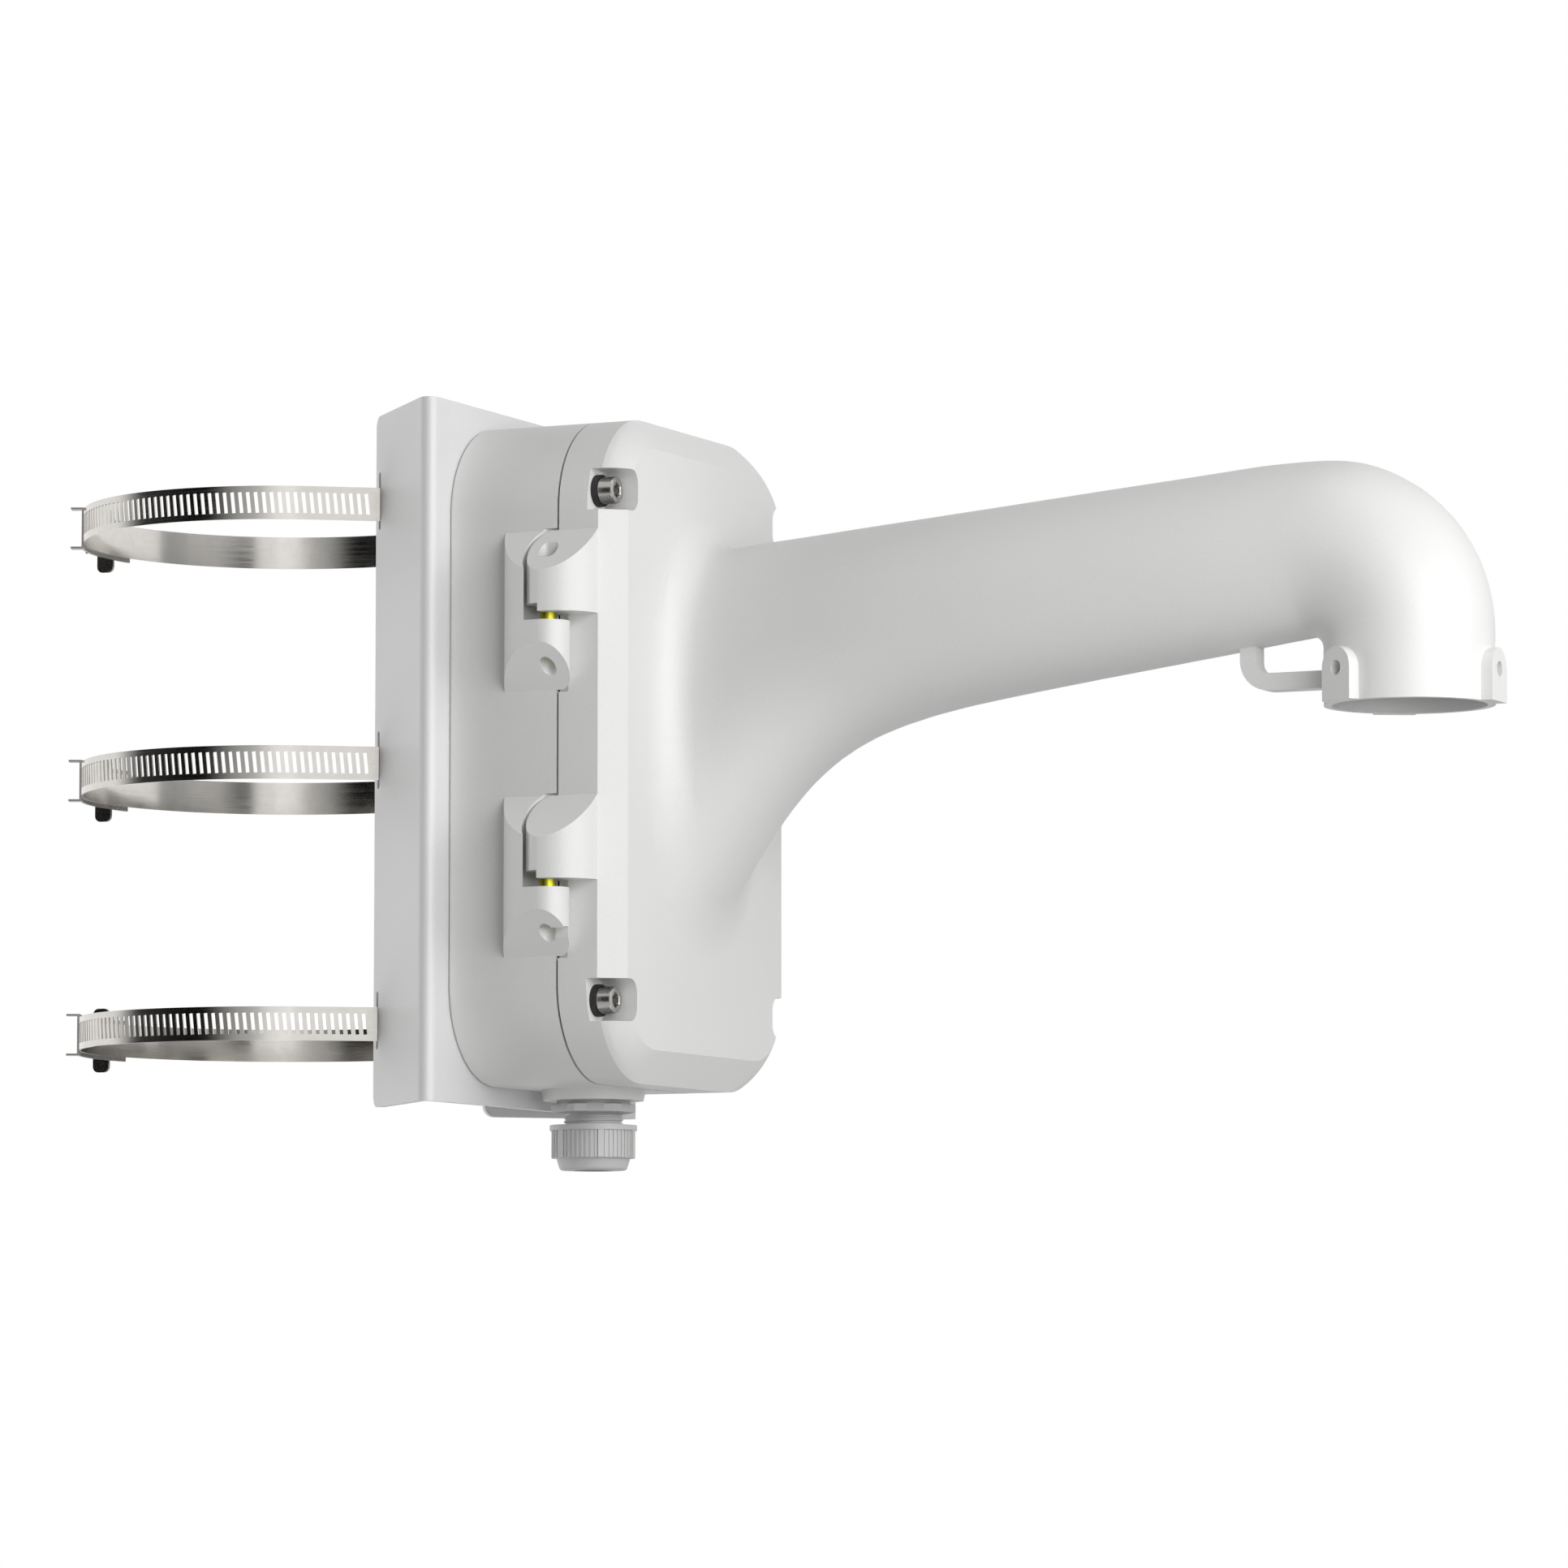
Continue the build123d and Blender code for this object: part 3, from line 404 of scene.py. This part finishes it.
def steel(name, code, roughness, lines, anisotropic=0.0, wear_mm=4.0):
    """Bare steel. lines are how many marks there are in a metre along x, y and z."""
    shade, tree, metal = new_surface(name)
    metal.inputs["Metallic"].default_value = 1.0
    metal.inputs["Anisotropic"].default_value = anisotropic
    at = add(tree, "ShaderNodeTexCoord").outputs["Object"]
    stretched = add(tree, "ShaderNodeMapping", {"Vector": at, "Scale": lines})
    marks = add(tree, "ShaderNodeTexNoise",
                {"Vector": stretched.outputs[0], "Scale": 1.0, "Detail": 4.0})
    cloud = add(tree, "ShaderNodeTexNoise",
                {"Vector": at, "Scale": 1 / (wear_mm * MM), "Detail": 3.0})
    gloss = add(tree, "ShaderNodeMapRange",
                {"Value": marks.outputs["Fac"], "From Min": 0.3, "From Max": 0.7,
                 "To Min": max(roughness - steel_gloss_drift, smoothest),
                 "To Max": roughness + steel_gloss_drift})
    base = colour(code)
    tint = add(tree, "ShaderNodeMix",
               {"Factor": cloud.outputs["Fac"], "A": darker(base, 0.86), "B": base},
               data_type="RGBA")
    bump = add(tree, "ShaderNodeBump",
               {"Height": marks.outputs["Fac"], "Strength": 0.12, "Distance": mark_depth_mm * MM})
    dress(tree, metal, tint.outputs["Result"], gloss.outputs["Result"], bump.outputs["Normal"])
    return shade


band_steel = steel("cold_rolled_stainless_strip", "#DEDBD6", 0.15, rolled_lines, anisotropic=0.5)
housing_steel = steel("pressed_stainless_sheet", "#96938F", 0.26, brushed_every_way)
screw_steel = steel("machined_stainless_screw", "#B4B2AF", 0.27, brushed_every_way)
zinc_steel = steel("bright_zinc_plated_steel", "#C9CCCF", 0.38, brushed_every_way)

# The anisotropic highlight follows the rolling, which runs round the pole.
tree = band_steel.node_tree
round_the_pole = add(tree, "ShaderNodeTangent", direction_type="RADIAL", axis="Z")
tree.links.new(round_the_pole.outputs[0], tree.nodes["Principled BSDF"].inputs["Tangent"])
print("steels", [shade.name for shade in (band_steel, housing_steel, screw_steel, zinc_steel)])

# %% [markdown]
# ## Yellow zinc on the hinge pins
#
# The pins are steel plated with zinc and then passivated in chromate, which leaves a
# yellow film so thin that its colour drifts to green and straw. Noise mixes the two.

# %% The pins' material
film_patch_mm = 1 / 0.35
pin_zinc = steel("yellow_chromated_zinc", "#B7AE32", 0.36, brushed_every_way)
tree = pin_zinc.node_tree
at = add(tree, "ShaderNodeTexCoord").outputs["Object"]
drift = add(tree, "ShaderNodeTexNoise",
            {"Vector": at, "Scale": 1 / (film_patch_mm * MM), "Detail": 2.0})
film = add(tree, "ShaderNodeMix",
           {"Factor": drift.outputs["Fac"], "A": colour("#B9B035"), "B": colour("#8C8F28")},
           data_type="RGBA")
tree.links.new(film.outputs["Result"], tree.nodes["Principled BSDF"].inputs["Base Color"])
print("pins in", pin_zinc.name)


# %% [markdown]
# ## Rubber and nylon
#
# The gasket and the seals under the screws are moulded rubber, nearly black and matt.
# The gland is moulded nylon in light grey: light goes a little way into it, which
# softens its edges, and the mould leaves a fine even texture.

# %% Moulded materials
moulded_ior = 1.53
moulded_clouds = 60.0  # slow drifts of tone, in a metre
moulded_gloss_drift = 0.06
light_inside = 0.2  # the share of light that goes into nylon and comes out again


def moulded(name, code, roughness, grain_mm, depth_mm, soft_mm=0.0):
    """A moulded plastic or rubber, with the fine grain of its mould."""
    shade, tree, skin = new_surface(name)
    at = add(tree, "ShaderNodeTexCoord").outputs["Object"]
    grain = add(tree, "ShaderNodeTexNoise",
                {"Vector": at, "Scale": 1 / (grain_mm * MM), "Detail": 3.0})
    cloud = add(tree, "ShaderNodeTexNoise", {"Vector": at, "Scale": moulded_clouds, "Detail": 2.0})
    base = colour(code)
    tint = add(tree, "ShaderNodeMix",
               {"Factor": cloud.outputs["Fac"], "A": darker(base, 0.92), "B": base},
               data_type="RGBA")
    gloss = add(tree, "ShaderNodeMapRange",
                {"Value": grain.outputs["Fac"], "To Min": roughness - moulded_gloss_drift,
                 "To Max": roughness + moulded_gloss_drift})
    bump = add(tree, "ShaderNodeBump",
               {"Height": grain.outputs["Fac"], "Strength": 0.4, "Distance": depth_mm * MM})
    dress(tree, skin, tint.outputs["Result"], gloss.outputs["Result"], bump.outputs["Normal"])
    skin.inputs["IOR"].default_value = moulded_ior
    if soft_mm:
        skin.inputs["Subsurface Weight"].default_value = light_inside
        skin.inputs["Subsurface Radius"].default_value = (soft_mm * MM,) * 3
        skin.inputs["Subsurface Scale"].default_value = 1.0
    return shade


black_rubber = moulded("black_moulded_rubber", "#101011", 0.62, grain_mm=0.5, depth_mm=0.05)
grey_rubber = moulded("grey_moulded_rubber", "#A2A3A4", 0.6, grain_mm=0.5, depth_mm=0.05)
grey_nylon = moulded("light_grey_nylon", "#C4C5C4", 0.42, grain_mm=0.6, depth_mm=0.03, soft_mm=0.8)
print("moulded", black_rubber.name, grey_rubber.name, grey_nylon.name)

# %% [markdown]
# ## Finishes on the solids
#
# Every solid keeps its shape and gets the material of its real piece. The solids came
# in with one slot each, so assigning to the slot is enough.

# %% Assign the finishes
finish_of = {
    "pole_plate": plate_coat,
    "rear_shell": cast_coat,
    "lid_arm": cast_coat,
    "lid_gasket": black_rubber,
    "lid_screw_seals": black_rubber,
    "hinge_pin_upper": pin_zinc,
    "hinge_pin_lower": pin_zinc,
    "lid_screws": screw_steel,
    "box_bolts": zinc_steel,
    "box_bolt_washers": zinc_steel,
    "plate_washers": zinc_steel,
    "box_bolt_nuts": zinc_steel,
    "gland_body": grey_nylon,
    "gland_locknut": grey_nylon,
    "gland_nut": grey_nylon,
    "gland_gasket": grey_rubber,
    "gland_seal": grey_rubber,
}
for level in levels:
    finish_of[f"clamp_band_{level}"] = band_steel
    finish_of[f"clamp_housing_{level}"] = housing_steel
    finish_of[f"clamp_screw_{level}"] = zinc_steel
for name, shade in finish_of.items():
    solid = nodes[name]
    if not solid.material_slots:
        solid.data.materials.append(shade)
    for slot in solid.material_slots:
        slot.material = shade
print("finishes on", len(finish_of), "of", len(nodes), "nodes")

# %% [markdown]
# ## The fillet at the arm's root
#
# Where the arm leaves the lid, the casting has a broad hollow fillet, because molten
# metal would tear at a sharp corner. Its radius is about 12 mm. A bevel modifier can't
# make it on a finished solid, so rays find the arm's wall all the way round, and at each
# place an arc is drawn that leaves the lid's face and the wall without a step.

# %% Find the lid's face and the arm's wall
root_radius = 12.5 * MM
ray_from_outside = 120 * MM  # well outside the arm, and inside the lid's outline
ray_to_lid = Vector((0.6, -0.052, -0.06))  # in front of a bare corner of the lid
arm_mesh = nodes["lid_arm"].data
arm_surface = BVHTree.FromPolygons([v.co for v in arm_mesh.vertices],
                                   [p.vertices[:] for p in arm_mesh.polygons])
lid_face = arm_surface.ray_cast(ray_to_lid, Vector((-1, 0, 0)))[0].x


def arm_wall(angle, run):
    """The arm's outer wall, and its normal, in a direction round the root, run past the lid."""
    inward = Vector((0, -cos(angle), -sin(angle)))
    start = Vector((lid_face + run, 0, 0)) - inward * ray_from_outside
    place, normal, _, _ = arm_surface.ray_cast(start, inward)
    return place, normal


print("lid face at", round(lid_face / MM, 2), "mm")

# %% One arc of the fillet
arc_points = 14
arc_pull = 0.75  # how strongly the corner pulls the arc in
least_run = 6.5 * MM
slope_step = 2 * MM
sink = 0.03 * MM  # the arc's ends lie this far inside the lid and the arm
skin = 1.2 * MM


def root_arc(angle):
    """One arc, from the lid's face to the arm's wall, and the way back inside both."""
    place, _ = arm_wall(angle, root_radius)
    climb = (arm_wall(angle, root_radius + slope_step)[0] - place).normalized()
    run = max(root_radius * climb.x, least_run)
    place, normal = arm_wall(angle, run)
    climb = (arm_wall(angle, run + slope_step)[0] - place).normalized()
    foot = place - climb * (run / climb.x)
    outward = Vector((0, normal.y, normal.z)).normalized()
    toe = foot + outward * (place - foot).length - Vector((sink, 0, 0))
    place = place - normal * sink
    line = []
    for i in range(arc_points):
        t = i / (arc_points - 1)
        weight = (1 - t) ** 2, 2 * t * (1 - t) * arc_pull, t ** 2
        mid = toe * weight[0] + foot * weight[1] + place * weight[2]
        line.append(mid / sum(weight))
    behind = Vector((skin, 0, 0))
    return line + [place - outward * skin, foot - outward * skin - behind, toe - behind]


print("an arc has", len(root_arc(0)), "points")

# %% Sweep the arc round the arm
around = 144
arcs = [root_arc(tau * (i + 0.5) / around) for i in range(around)]
loop = len(arcs[0])
root_faces = []
for i in range(around):
    a, b = i * loop, (i + 1) % around * loop
    for k in range(loop):
        after = (k + 1) % loop
        root_faces.append((a + k, a + after, b + after, b + k))
root_mesh = bpy.data.meshes.new("arm_root_fillet")
root_mesh.from_pydata([point for arc in arcs for point in arc], [], root_faces)
root_mesh.materials.append(cast_coat)
root_mesh.shade_smooth()
root_mesh.set_sharp_from_angle(angle=radians(50))
root = show("arm_root_fillet", root_mesh)
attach(root, "lid")
print("fillet radius", root_radius / MM, "mm,", len(root_faces), "faces")

# %% [markdown]
# ## Turned pieces from a stack of rings
#
# Screws, nuts and the gland are all turned or moulded round one axis. A screw modifier
# would make a plain turned shape, but not its hexagon, knurl and thread in one skin. So
# each is a stack of rings instead: a ring is a height and a radius for each direction,
# and a hexagon, a knurl or a thread is only a different rule for that radius.

# %% Rings, hexagons, knurls and threads
RING = 96  # directions in a ring
thread_flank = 4  # how steeply a thread climbs from its root to its flat crest


def round_ring(height, radius):
    """A plain circle."""
    return [(height, radius)] * RING


def hexagon_ring(height, flat, limit=100.0):
    """A hexagon across flats, with its corners cut back to a circle of radius limit."""
    points = []
    for i in range(RING):
        turn = (tau * i / RING) % (pi / 3) - pi / 6
        points.append((height, min(flat / 2 / cos(turn), limit)))
    return points


def knurled_ring(height, radius, teeth, depth):
    """A circle with straight V-shaped grooves."""
    return [(height, radius - depth * abs(2 * ((i * teeth / RING) % 1) - 1)) for i in range(RING)]


def thread_rings(start, end, radius, pitch, depth, steps=8):
    """A single-start thread from start to end, with flat crests, as rings close together."""
    count = max(2, round(abs(end - start) / pitch * steps))
    rings = []
    for k in range(count + 1):
        height = start + (end - start) * k / count
        ring = []
        for i in range(RING):
            phase = (height / pitch - i / RING) % 1
            crest = min(max(abs(phase - 0.5) * thread_flank - 0.5, 0), 1)
            ring.append((height, radius - depth * (1 - crest)))
        rings.append(ring)
    return rings


print("a ring has", RING, "points")

# %% Join the rings into a piece
def in_metres(rings):
    """Rings drawn in millimetres, in metres."""
    return [[(height * MM, radius * MM) for height, radius in ring] for ring in rings]


def turned(name, rings, place, shade, body, node=None, closed=True):
    """Join rings into one mesh, put it at place, and let it ride on a body."""
    verts, faces = [], []
    for ring in rings:
        for i, (height, radius) in enumerate(ring):
            angle = tau * i / RING
            verts.append((radius * cos(angle), radius * sin(angle), height))
    for k in range(len(rings) - 1):
        for i in range(RING):
            a, b = k * RING + i, k * RING + (i + 1) % RING
            faces.append((a, b, b + RING, a + RING))
    last = (len(rings) - 1) * RING
    if closed:
        faces.append(tuple(reversed(range(RING))))
        faces.append(tuple(range(last, last + RING)))
    else:
        for i in range(RING):
            faces.append((last + i, last + (i + 1) % RING, (i + 1) % RING, i))
    mesh = bpy.data.meshes.new(name)
    mesh.from_pydata(verts, [], faces)
    mesh.transform(place)
    mesh.materials.append(shade)
    mesh.shade_smooth()
    mesh.set_sharp_from_angle(angle=radians(40))
    piece = show(name, mesh)
    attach(piece, body)
    if node:
        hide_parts(node)
    return piece


def along(axis, start):
    """A matrix that turns the rings' own upward axis into axis and starts them at start."""
    turn = Vector((0, 0, 1)).rotation_difference(Vector(axis)).to_matrix().to_4x4()
    return Matrix.Translation(Vector(start)) @ turn


out_of_the_box = Vector((1, 0, 0))  # the way that lid screws and bolts point
print("pieces are turned about", tuple(out_of_the_box), "or up")

# %% [markdown]
# ## Lid screws
#
# Four M6 socket-head screws hold the lid. Their heads are knurled so that fingers can
# start them. The solids give each screw's place: the node's box holds all four, one in
# each corner, so each place is read from the box and none is typed in.

# %% One socket-head screw, from its tip to its head
screw_head_radius = 5.0
screw_head_height = 6.0
screw_shank_radius = 3.0
screw_socket = 5.0
screw_socket_depth = 3.0
screw_pitch = 1.0
screw_thread_depth = 0.55
screw_knurl_depth = 0.14
threaded_share = 0.6  # of the shank

low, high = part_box("lid_screws")
length = (high.x - low.x) / MM
neck = length - screw_head_height
thread_end = neck * threaded_share
plain_shank = screw_shank_radius - 0.2
rings = [round_ring(0, screw_shank_radius - 0.7)]
rings += thread_rings(0.4, thread_end, screw_shank_radius, screw_pitch, screw_thread_depth)
rings += [
    round_ring(thread_end + 0.3, plain_shank),
    round_ring(neck, plain_shank),
    round_ring(neck, screw_head_radius - 0.25),
    round_ring(neck + 0.3, screw_head_radius),
    knurled_ring(neck + 0.6, screw_head_radius, RING // 2, screw_knurl_depth),
    knurled_ring(length - 1.0, screw_head_radius, RING // 2, screw_knurl_depth),
    round_ring(length - 0.7, screw_head_radius),
    round_ring(length - 0.2, screw_head_radius - 0.2),
    round_ring(length, screw_head_radius - 0.7),
    round_ring(length, screw_socket / 2 + 0.6),
    hexagon_ring(length - 0.35, screw_socket),
    hexagon_ring(length - screw_socket_depth, screw_socket),
    round_ring(length - screw_socket_depth - 0.6, 0.4),
]
screw_rings = in_metres(rings)
print("lid screw length", round(length, 1), "mm,", len(screw_rings), "rings")

# %% The four lid screws
inset = screw_head_radius * MM
screw_places = [(y, z) for y in (low.y + inset, high.y - inset)
                for z in (low.z + inset, high.z - inset)]
for number, (y, z) in enumerate(screw_places):
    turned(f"lid_screw_{number}", screw_rings, along(out_of_the_box, (low.x, y, z)), screw_steel,
           "lid", node="lid_screws" if number == 0 else None)
print("lid screws", len(screw_places))

# %% [markdown]
# ## Bolts and nuts behind the plate
#
# Four M8 bolts hold the box to the plate. From behind one sees chamfered nuts on their
# washers and a few turns of thread, so bolts and nuts are remade with those.

# %% One bolt
bolt_radius = 4.0
bolt_flat = 13.0
bolt_pitch = 1.25
bolt_thread_depth = 0.7
bolt_thread_end = 16.0
bolt_head = 5.3
bolt_corner = bolt_flat / 2 / cos(pi / 6)

low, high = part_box("box_bolts")
length = (high.x - low.x) / MM
neck = length - bolt_head
rings = [round_ring(0, bolt_radius - 1.0), round_ring(0.8, bolt_radius - 0.3)]
rings += thread_rings(0.9, bolt_thread_end, bolt_radius, bolt_pitch, bolt_thread_depth)
rings += [
    round_ring(bolt_thread_end + 0.3, bolt_radius),
    round_ring(neck, bolt_radius),
    hexagon_ring(neck, bolt_flat, bolt_corner - 0.3),
    hexagon_ring(length - 0.6, bolt_flat, bolt_corner),
    hexagon_ring(length - 0.5, bolt_flat, bolt_corner - 0.1),
    round_ring(length, bolt_flat / 2 - 0.3),
]
bolt_rings = in_metres(rings)
print("bolt length", round(length, 1), "mm")

# %% One nut
nut_low, nut_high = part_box("box_bolt_nuts")
nut_height = (nut_high.x - nut_low.x) / MM
nut_bore = bolt_radius - 0.15
nut_mouth = nut_bore + 0.6
nut_face = bolt_flat / 2 - 0.4
nut_chamfer = 0.7
nut_rings = in_metres([
    round_ring(0.5, nut_bore),
    round_ring(0, nut_mouth),
    round_ring(0, nut_face),
    hexagon_ring(nut_chamfer, bolt_flat, bolt_corner - 0.05),
    hexagon_ring(nut_height - nut_chamfer, bolt_flat, bolt_corner - 0.05),
    round_ring(nut_height, nut_face),
    round_ring(nut_height, nut_mouth),
    round_ring(nut_height - 0.5, nut_bore),
])
print("nut height", round(nut_height, 1), "mm")

# %% Bolts and nuts in their places
half_y = (high.y - low.y) / 2 - bolt_corner * MM
half_z = (high.z - low.z) / 2 - bolt_flat / 2 * MM
bolt_places = [(y, z) for y in (-half_y, half_y) for z in (-half_z, half_z)]
flats_level = Matrix.Rotation(pi / 6, 4, "X")
for number, (y, z) in enumerate(bolt_places):
    at = Matrix.Translation((0, y, z)) @ flats_level
    turned(f"box_bolt_{number}", bolt_rings, at @ along(out_of_the_box, (low.x, 0, 0)), zinc_steel,
           "base", node="box_bolts" if number == 0 else None)
    turned(f"box_bolt_nut_{number}", nut_rings, at @ along(out_of_the_box, (nut_low.x, 0, 0)),
           zinc_steel, "base", node="box_bolt_nuts" if number == 0 else None,
           closed=False)
print("bolts at", [(round(y / MM, 1), round(z / MM, 1)) for y, z in bolt_places])

# %% [markdown]
# ## The gland's threaded body
#
# Between the gland's hexagon and its ribbed nut a few turns of coarse thread show. The
# body is one moulding: a tube threaded from end to end with the hexagon part-way up.

# %% The gland body
gland_thread = 11.2
gland_bore = 8.5
gland_pitch = 1.5
gland_thread_depth = 0.65
gland_hex = 27.7
gland_hex_height = 3.9
gland_hex_chamfer = 0.6
gland_corner = gland_hex / 2 / cos(pi / 6) - 0.05
gland_root = gland_thread - 0.4
gland_end = gland_thread - 0.8

low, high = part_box("gland_body")
gasket_low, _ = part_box("gland_gasket")
tall = (high.z - low.z) / MM
hex_top = (gasket_low.z - low.z) / MM
hex_bottom = hex_top - gland_hex_height
rings = [round_ring(0, gland_bore), round_ring(0, gland_end)]
rings += thread_rings(0.4, hex_bottom - 0.4, gland_thread, gland_pitch, gland_thread_depth, steps=16)
rings += [
    round_ring(hex_bottom, gland_root),
    round_ring(hex_bottom, gland_hex / 2 - 0.7),
    hexagon_ring(hex_bottom + gland_hex_chamfer, gland_hex, gland_corner),
    hexagon_ring(hex_top - gland_hex_chamfer, gland_hex, gland_corner),
    round_ring(hex_top, gland_hex / 2 - 0.3),
    round_ring(hex_top, gland_root),
]
rings += thread_rings(hex_top + 0.3, tall - 0.4, gland_thread, gland_pitch, gland_thread_depth)
rings += [round_ring(tall, gland_end), round_ring(tall, gland_bore)]
upright = Matrix.Translation(((low.x + high.x) / 2, 0, low.z))
turned("gland_body_threaded", in_metres(rings), upright @ Matrix.Rotation(pi / 6, 4, "Z"),
       grey_nylon, "base", node="gland_body", closed=False)
print("gland body", round(tall, 1), "mm tall, hexagon from", round(hex_bottom, 1))

# %% [markdown]
# ## Worm screws of the clamps
#
# A worm-drive clamp is tightened by a screw whose coarse thread bites into the band's
# slots, so the thread's pitch is the slots' spacing, 3 mm. The head is a slotted
# hexagon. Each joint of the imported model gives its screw's centre and axis.

# %% One worm screw, from its end to its head
worm_radius = 3.2
worm_length = 10.5
worm_pitch = 3.0
worm_thread_depth = 0.9
worm_neck = 2.0
worm_neck_end = 6.95
worm_head_flat = 6.0
worm_head = 3.6
worm_head_corner = worm_head_flat / 2 / cos(pi / 6)
worm_top = worm_neck_end + worm_head

half = worm_length / 2
rings = [
    round_ring(-worm_neck_end, worm_neck),
    round_ring(-half, worm_neck),
    round_ring(-half, worm_radius - 1.0),
]
rings += thread_rings(-half + 0.1, half - 0.1, worm_radius, worm_pitch, worm_thread_depth, steps=12)
rings += [
    round_ring(half, worm_radius - 1.0),
    round_ring(half, worm_neck),
    round_ring(worm_neck_end, worm_neck),
    hexagon_ring(worm_neck_end, worm_head_flat, worm_head_corner - 0.2),
    hexagon_ring(worm_neck_end + 0.4, worm_head_flat, worm_head_corner - 0.02),
    hexagon_ring(worm_top - 0.5, worm_head_flat, worm_head_corner - 0.02),
    round_ring(worm_top, worm_head_flat / 2 - 0.3),
]
worm_rings = in_metres(rings)
print("worm thread pitch", worm_pitch, "mm,", len(worm_rings), "rings")

# %% The slot's cutter, a flat block across the head
slot_half = 0.45 * MM
slot_deep = 1.5 * MM
slot_reach = worm_head_flat * MM
slot_corners = [(x, y, z) for x in (-slot_reach, slot_reach) for y in (-slot_half, slot_half)
                for z in (worm_top * MM - slot_deep, worm_top * MM + slot_reach)]
block_faces = [(0, 1, 3, 2), (4, 6, 7, 5), (0, 4, 5, 1), (2, 3, 7, 6), (0, 2, 6, 4), (1, 5, 7, 3)]


def cut_slot(screw, place):
    """Cut the driver's slot in a screw's head and keep the result as its mesh."""
    block = bpy.data.meshes.new("slot_cutter")
    block.from_pydata(slot_corners, [], block_faces)
    block.transform(place)
    cutter = show("slot_cutter", block)
    cut = screw.modifiers.new("slot", "BOOLEAN")
    cut.operation = "DIFFERENCE"
    cut.solver = "EXACT"
    cut.object = cutter
    bpy.context.view_layer.update()
    with_slot = screw.evaluated_get(bpy.context.evaluated_depsgraph_get())
    mesh = bpy.data.meshes.new_from_object(with_slot)
    screw.modifiers.clear()
    screw.data = mesh
    bpy.data.objects.remove(cutter)
    bpy.data.meshes.remove(block)


print("slot", round(2 * slot_half / MM, 2), "mm wide and", round(slot_deep / MM, 2), "mm deep")

# %% The three worm screws
for joint in frame["joints"]:
    if not joint["name"].startswith("worm_"):
        continue
    level = joint["name"].split("_")[1]
    place = along(joint["axis"], joint["pos_m"])
    worm = turned(f"worm_{level}_threaded", worm_rings, place, zinc_steel, f"worm_{level}",
                  node=f"clamp_screw_{level}")
    cut_slot(worm, place)
    print(worm.name, "faces", len(worm.data.polygons))
